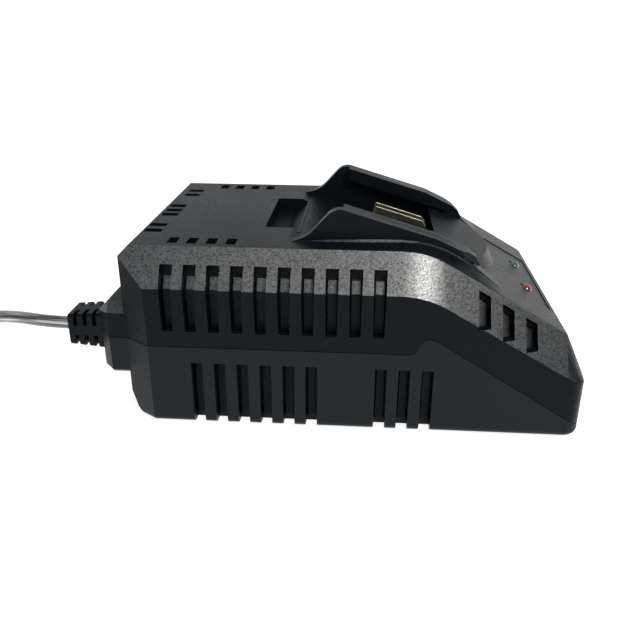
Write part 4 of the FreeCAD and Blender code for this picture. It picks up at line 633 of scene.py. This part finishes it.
@dataclass
class SoftEdges:
    """A moulded piece with its CAD form and small rounded edges."""

    JOINED = 0.004 * MM

    node: str
    radius: float = 0.35 * MM
    segments: int = 2
    sharp: float = math.radians(24.0)
    flat: float = math.radians(0.6)

    def build(self, finishes: Finishes) -> bpy.types.Object:
        """Round the edges of a merged copy of the node and dress it.

        Args:
            finishes: the finishes to take its material from.

        Returns:
            The finished piece.
        """
        shape = bmesh.new()
        shape.from_mesh(frame["nodes"][self.node].data)
        bmesh.ops.remove_doubles(shape, verts=shape.verts, dist=self.JOINED)
        bmesh.ops.dissolve_limit(
            shape,
            angle_limit=self.flat,
            verts=shape.verts,
            edges=shape.edges,
            use_dissolve_boundaries=False,
        )
        folds = [edge for edge in shape.edges if len(edge.link_faces) == 2]
        edges = [edge for edge in folds if edge.calc_face_angle(0.0) > self.sharp]
        bmesh.ops.bevel(
            shape,
            geom=edges,
            offset=self.radius,
            offset_type="OFFSET",
            segments=self.segments,
            profile=0.5,
            affect="EDGES",
            clamp_overlap=True,
            material=-1,
        )
        slot = slot_of(self.node)
        piece = add_piece(f"{self.node}_finish", shape, slot, finishes, self.node)
        weighted = piece.modifiers.new("weighted_normals", "WEIGHTED_NORMAL")
        weighted.keep_sharp = True
        weighted.weight = 100
        return piece


@dataclass
class Lamp:
    """A 5 mm lamp: flanged base, straight sides and a dome."""

    FLANGE_WIDTH = 0.4 * MM
    FLANGE_HEIGHT = 1.0 * MM
    JOINED = 0.002 * MM

    node: str
    steps: int = 40
    dome_steps: int = 10

    def build(self, finishes: Finishes) -> bpy.types.Object:
        """Spin the lamp's outline round its own axis.

        Args:
            finishes: the finishes to take its material from.

        Returns:
            The finished lens.
        """
        low, high = (Vector(corner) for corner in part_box(self.node))
        centre = (low + high) / 2
        flange = (high.x - low.x) / 2
        radius = flange - self.FLANGE_WIDTH
        shape = bmesh.new()
        step_up = low.z + self.FLANGE_HEIGHT
        outline = [(0.0, low.z), (flange, low.z), (flange, step_up), (radius, step_up)]
        for step in range(self.dome_steps + 1):
            angle = math.pi / 2 * step / self.dome_steps
            outline.append((radius * math.cos(angle), high.z - radius + radius * math.sin(angle)))
        corners = [shape.verts.new((centre.x + across, centre.y, up)) for across, up in outline]
        edges = [shape.edges.new(pair) for pair in zip(corners, corners[1:])]
        bmesh.ops.spin(
            shape,
            geom=corners + edges,
            cent=(centre.x, centre.y, 0.0),
            axis=(0.0, 0.0, 1.0),
            angle=math.tau,
            steps=self.steps,
            use_merge=True,
        )
        bmesh.ops.remove_doubles(shape, verts=shape.verts, dist=self.JOINED)
        bmesh.ops.recalc_face_normals(shape, faces=shape.faces)
        return add_piece(f"{self.node}_lens", shape, slot_of(self.node), finishes, self.node)


@dataclass
class MainsLead:
    """The lead: what shows, the coil put away beside the charger and the end by the plug."""

    diameter: float = 5.4 * MM
    coil_reach: float = -236.0
    coil_side: float = -71.4
    coil_radius: float = 34.4
    coil_pitch: float = 5.9
    coil_height: float = 3.6
    rings_per_layer: int = 4
    points_per_half: int = 8
    sides: int = 16
    first_stretch: tuple = (
        (-110.5, -41.0, 34.5),
        (-121.0, -41.0, 34.5),
        (-140.0, -36.8, 34.9),
        (-158.0, -33.4, 31.6),
        (-174.5, -31.8, 23.6),
        (-190.0, -32.3, 14.2),
        (-204.5, -34.9, 6.6),
        (-217.0, -37.0, 3.6),
        (-230.0, -37.0, 3.6),
    )
    last_stretch: tuple = ((-230.0, 21.3), (-215.0, 21.3), (-190.0, 8.0), (-175.0, 8.0))

    def half_turns(self) -> list[float]:
        """Radii of the coil's half turns.

        Returns:
            The radii in millimetres, from the start on the floor to the end on top.
        """
        steps = range(self.rings_per_layer)
        flat = [self.coil_radius - self.coil_pitch * step / 2 for step in steps]
        inner = flat[-1] - self.coil_pitch / 2
        outer = flat[0] + self.coil_pitch / 2
        return flat + [inner] + flat[::-1] + [outer] + flat + [inner] + flat[::-1]

    def route(self) -> list[Vector]:
        """Control points of the whole lead.

        Returns:
            The points in millimetres, from the boot to the plug.
        """
        points = [Vector(point) for point in self.first_stretch]
        radii = self.half_turns()
        climbs = (min(radii), max(radii))
        y = self.coil_side + self.coil_radius
        z = self.coil_height
        count = self.points_per_half
        spread = 1 / math.cos(math.pi / count / 2)
        for index, radius in enumerate(radii):
            side = 1 if index % 2 else -1
            rise = self.coil_pitch if radius in climbs else 0.0
            centre = y + radius * side
            for step in range(count):
                share = (step + 0.5) / count
                angle = math.pi * share
                points.append(
                    Vector((
                        self.coil_reach + side * math.sin(angle) * radius * spread,
                        centre - side * math.cos(angle) * radius * spread,
                        z + rise * (1 - math.cos(angle)) / 2,
                    ))
                )
            y += 2 * radius * side
            z += rise
        points += [Vector((x, y, up)) for x, up in self.last_stretch]
        return points

    def centreline(self) -> tuple[list[Vector], float]:
        """The lead's smooth line.

        Returns:
            Points along it and its length, in metres.
        """
        curve = bpy.data.curves.new("lead_line", "CURVE")
        curve.dimensions = "3D"
        spline = curve.splines.new("NURBS")
        route = self.route()
        spline.points.add(len(route) - 1)
        for point, place in zip(spline.points, route):
            point.co = (*(place * MM), 1.0)
        spline.order_u = 3
        spline.use_endpoint_u = True
        spline.resolution_u = 6
        holder = bpy.data.objects.new("lead_line", curve)
        line = bpy.data.meshes.new_from_object(holder)
        points = [vertex.co.copy() for vertex in line.vertices]
        bpy.data.objects.remove(holder)
        length = sum((after - before).length for before, after in zip(points, points[1:]))
        return points, length

    def build(self, finishes: Finishes) -> tuple[bpy.types.Object, list[Vector], float]:
        """Sweep a round tube along the line, with a UV map that runs along it.

        Args:
            finishes: the finishes to take its material from.

        Returns:
            The lead, the points of its line and its length in metres.
        """
        points, length = self.centreline()
        shape = bmesh.new()
        layer = shape.loops.layers.uv.new("lead")
        rings = []
        along = (points[1] - points[0]).normalized()
        across = along.orthogonal().normalized()
        travelled = 0.0
        marks = []
        for index, place in enumerate(points):
            before = points[max(index - 1, 0)]
            after = points[min(index + 1, len(points) - 1)]
            heading = (after - before).normalized()
            across = (across - heading * across.dot(heading)).normalized()
            up = heading.cross(across)
            if index:
                travelled += (place - points[index - 1]).length
            marks.append(travelled)
            ring = []
            for side in range(self.sides):
                angle = math.tau * side / self.sides
                ring.append(shape.verts.new(
                    place + (across * math.cos(angle) + up * math.sin(angle)) * self.diameter / 2
                ))
            rings.append(ring)
        for index, (ring, following) in enumerate(zip(rings, rings[1:])):
            for side in range(self.sides):
                other = (side + 1) % self.sides
                face = shape.faces.new((ring[side], ring[other], following[other], following[side]))
                places = (
                    (side / self.sides, marks[index]),
                    ((side + 1) / self.sides, marks[index]),
                    ((side + 1) / self.sides, marks[index + 1]),
                    (side / self.sides, marks[index + 1]),
                )
                for loop, place in zip(face.loops, places):
                    loop[layer].uv = place
        shape.faces.new(rings[0][::-1])
        shape.faces.new(rings[-1])
        bmesh.ops.recalc_face_normals(shape, faces=shape.faces)
        stands_for = ("mains_cord", "cord_coil", "cord_end")
        piece = add_piece("mains_lead", shape, "cord_jacket", finishes, *stands_for)
        return piece, points, length


@dataclass(frozen=True)
class PhotoCamera:
    """The camera at the photograph's viewing angle."""

    place: tuple = (9.74 * MM, -306.59 * MM, 156.93 * MM)
    down: float = math.radians(23.847)
    turn: float = math.radians(-3.839)
    roll: float = math.radians(0.278)
    focal_pixels: float = 716.2
    sensor: float = 36.0

    def build(self) -> None:
        """Make the camera and look through it."""
        forward = Vector((
            math.sin(self.turn) * math.cos(self.down),
            math.cos(self.turn) * math.cos(self.down),
            -math.sin(self.down),
        ))
        level = Vector((math.cos(self.turn), -math.sin(self.turn), 0.0))
        upright = level.cross(forward)
        right = level * math.cos(self.roll) + upright * math.sin(self.roll)
        top = upright * math.cos(self.roll) - level * math.sin(self.roll)
        data = bpy.data.cameras.new("camera")
        data.sensor_width = self.sensor
        data.lens = self.focal_pixels / IMAGE_SIDE * self.sensor
        data.clip_start = 0.01
        camera = bpy.data.objects.new("camera", data)
        turned = Matrix((right, top, -forward)).transposed().to_4x4()
        camera.matrix_world = Matrix.Translation(Vector(self.place)) @ turned
        bpy.context.collection.objects.link(camera)
        bpy.context.scene.camera = camera


@dataclass(frozen=True)
class SoftBox:
    """A rectangular studio lamp."""

    name: str
    place: tuple[float, float, float]
    aim: tuple[float, float, float]
    size: tuple[float, float]
    power: float
    colour: tuple[float, float, float] = (1.0, 1.0, 1.0)

    def build(self) -> None:
        """Hang the lamp and point it."""
        data = bpy.data.lights.new(self.name, "AREA")
        data.shape = "RECTANGLE"
        data.size, data.size_y = self.size
        data.energy = self.power
        data.color = self.colour
        lamp = bpy.data.objects.new(self.name, data)
        lamp.location = self.place
        heading = Vector(self.aim) - Vector(self.place)
        lamp.rotation_euler = heading.to_track_quat("-Z", "Y").to_euler()
        bpy.context.collection.objects.link(lamp)


KEY_LIGHT = SoftBox(
    "key", (0.46, -0.77, 0.93), (0.03, -0.05, 0.06), (0.30, 0.26), 12.5, (1.0, 0.985, 0.95)
)
SIDE_LIGHT = SoftBox(
    "side", (-0.18, -0.80, 0.90), (-0.03, -0.05, 0.06), (0.5, 0.12), 1.2, (1.0, 0.99, 0.97)
)
TOP_LIGHT = SoftBox(
    "top", (-0.1, 0.25, 1.3), (0.0, 0.0, 0.05), (1.0, 0.7), 1.5, (0.94, 0.97, 1.0)
)


@dataclass
class Studio:
    """White floor and surroundings, and the lamps.

    Gloss sees white up to white_rise, the ceiling's grey above grey_rise, and a blend between.
    """

    FLOOR_PALE = (0.72, 0.72, 0.72)
    FLOOR_GREY = (0.70, 0.70, 0.70)
    WHITE = (1.0, 1.0, 1.0)
    SKY = (0.90, 0.95, 1.0, 1.0)

    floor_half: float = 6.0
    floor_glow: float = 0.86
    ambient: float = 0.22
    ceiling: tuple[float, float, float] = (0.26, 0.29, 0.30)
    white_rise: float = 0.12
    grey_rise: float = 0.34
    lamps: tuple = (KEY_LIGHT, SIDE_LIGHT, TOP_LIGHT)

    def plain_rays(self, wires: Wiring) -> bpy.types.NodeSocket:
        """Tell rays from the camera, off gloss and through glass from the rest.

        Args:
            wires: the wiring of the tree that asks.

        Returns:
            A socket that is one for such rays, else nothing.
        """
        path = wires.add("LightPath")
        seen = wires.maths("ADD", path.outputs["Is Camera Ray"], path.outputs["Is Glossy Ray"])
        seen = wires.maths("ADD", seen, path.outputs["Is Transmission Ray"])
        return wires.maths("MINIMUM", seen, 1.0)

    def floor_material(self) -> bpy.types.Material:
        """Floor paint that looks white to the camera and in gloss, and still takes a shadow.

        Returns:
            The floor's material.
        """
        material, wires, shader = start_material("studio_floor")
        shade = wires.noise(wires.place(), 3.0, 1.0)
        tone = wires.blend(shade, self.FLOOR_GREY, self.FLOOR_PALE)
        links = material.node_tree.links
        links.new(tone, shader.inputs["Base Color"])
        shader.inputs["Roughness"].default_value = 0.9
        shader.inputs["Specular IOR Level"].default_value = 0.0
        shader.inputs["Emission Color"].default_value = (*self.WHITE, 1.0)
        glow = wires.maths("MULTIPLY", self.plain_rays(wires), self.floor_glow)
        links.new(glow, shader.inputs["Emission Strength"])
        return material

    def build_world(self) -> None:
        """White to the camera, in gloss and through glass; a plain level for everything else."""
        world = bpy.data.worlds.new("studio")
        bpy.context.scene.world = world
        world.use_nodes = True
        wires = Wiring(world.node_tree)
        ground = world.node_tree.nodes["Background"]
        ground.inputs["Color"].default_value = self.SKY
        ground.inputs["Strength"].default_value = self.ambient
        heading = wires.add("TexCoord").outputs["Generated"]
        rise = wires.add("SeparateXYZ", {0: heading}).outputs["Z"]
        in_gloss = wires.add("LightPath").outputs["Is Glossy Ray"]
        overhead = wires.ramp(rise, self.white_rise, self.grey_rise)
        overhead = wires.maths("MULTIPLY", overhead, in_gloss)
        tone = wires.blend(overhead, self.WHITE, self.ceiling)
        white = wires.add("Background", {"Color": tone, "Strength": 1.0})
        choice = {0: self.plain_rays(wires), 1: ground.outputs[0], 2: white.outputs[0]}
        mixed = wires.add("MixShader", choice)
        surface = world.node_tree.nodes["World Output"].inputs["Surface"]
        world.node_tree.links.new(mixed.outputs[0], surface)

    def build(self) -> None:
        """Set the view transform, the world, the floor and the lamps."""
        bpy.context.scene.view_settings.view_transform = "Standard"
        self.build_world()
        shape = bmesh.new()
        bmesh.ops.create_grid(shape, x_segments=1, y_segments=1, size=self.floor_half)
        mesh = bpy.data.meshes.new("floor")
        shape.to_mesh(mesh)
        shape.free()
        mesh.materials.append(self.floor_material())
        floor = bpy.data.objects.new("floor", mesh)
        bpy.context.collection.objects.link(floor)
        for lamp in self.lamps:
            lamp.build()


@dataclass
class Charger:
    """The whole charger: rounded housing pieces, lamps, lead and dressed inner parts."""

    LINER_EDGE = 0.15 * MM

    finishes: Finishes = field(default_factory=Finishes)
    soft: tuple = (
        SoftEdges("top_shell", 0.4 * MM),
        SoftEdges("bottom_shell", 0.4 * MM),
        SoftEdges("contact_block"),
        SoftEdges("positive_contact", 0.2 * MM),
        SoftEdges("negative_contact", 0.2 * MM),
        SoftEdges("strain_relief_boot", 0.3 * MM),
        SoftEdges("plug_body", 1.0 * MM, 3),
        SoftEdges("plug_pins", 0.3 * MM),
        SoftEdges("rubber_feet", 0.5 * MM),
        SoftEdges("cord_tie", 0.3 * MM),
    )
    liners: tuple = ("upper", "lower", "nose")

    def build(self) -> None:
        """Make every piece and dress every CAD node that stays."""
        lead = MainsLead()
        piece, points, length = lead.build(self.finishes)
        made = {entry.node: entry.build(self.finishes) for entry in self.soft}
        for kind in self.liners:
            for side in ("near", "far"):
                SoftEdges(f"{kind}_vent_liner_{side}", self.LINER_EDGE, 1).build(self.finishes)
        for node in ("green_lamp", "red_lamp"):
            Lamp(node).build(self.finishes)
        self.dress_nodes()

    def dress_nodes(self) -> None:
        """Give every CAD node its finish."""
        for name, node in frame["nodes"].items():
            node.data.materials.clear()
            node.data.materials.append(self.finishes.get(slot_of(name)))


def main() -> None:
    """Build the camera, the charger and the studio."""
    logging.basicConfig(level=logging.INFO, format="%(message)s")
    PhotoCamera().build()
    Charger().build()
    Studio().build()


if __name__ == "__main__":
    main()
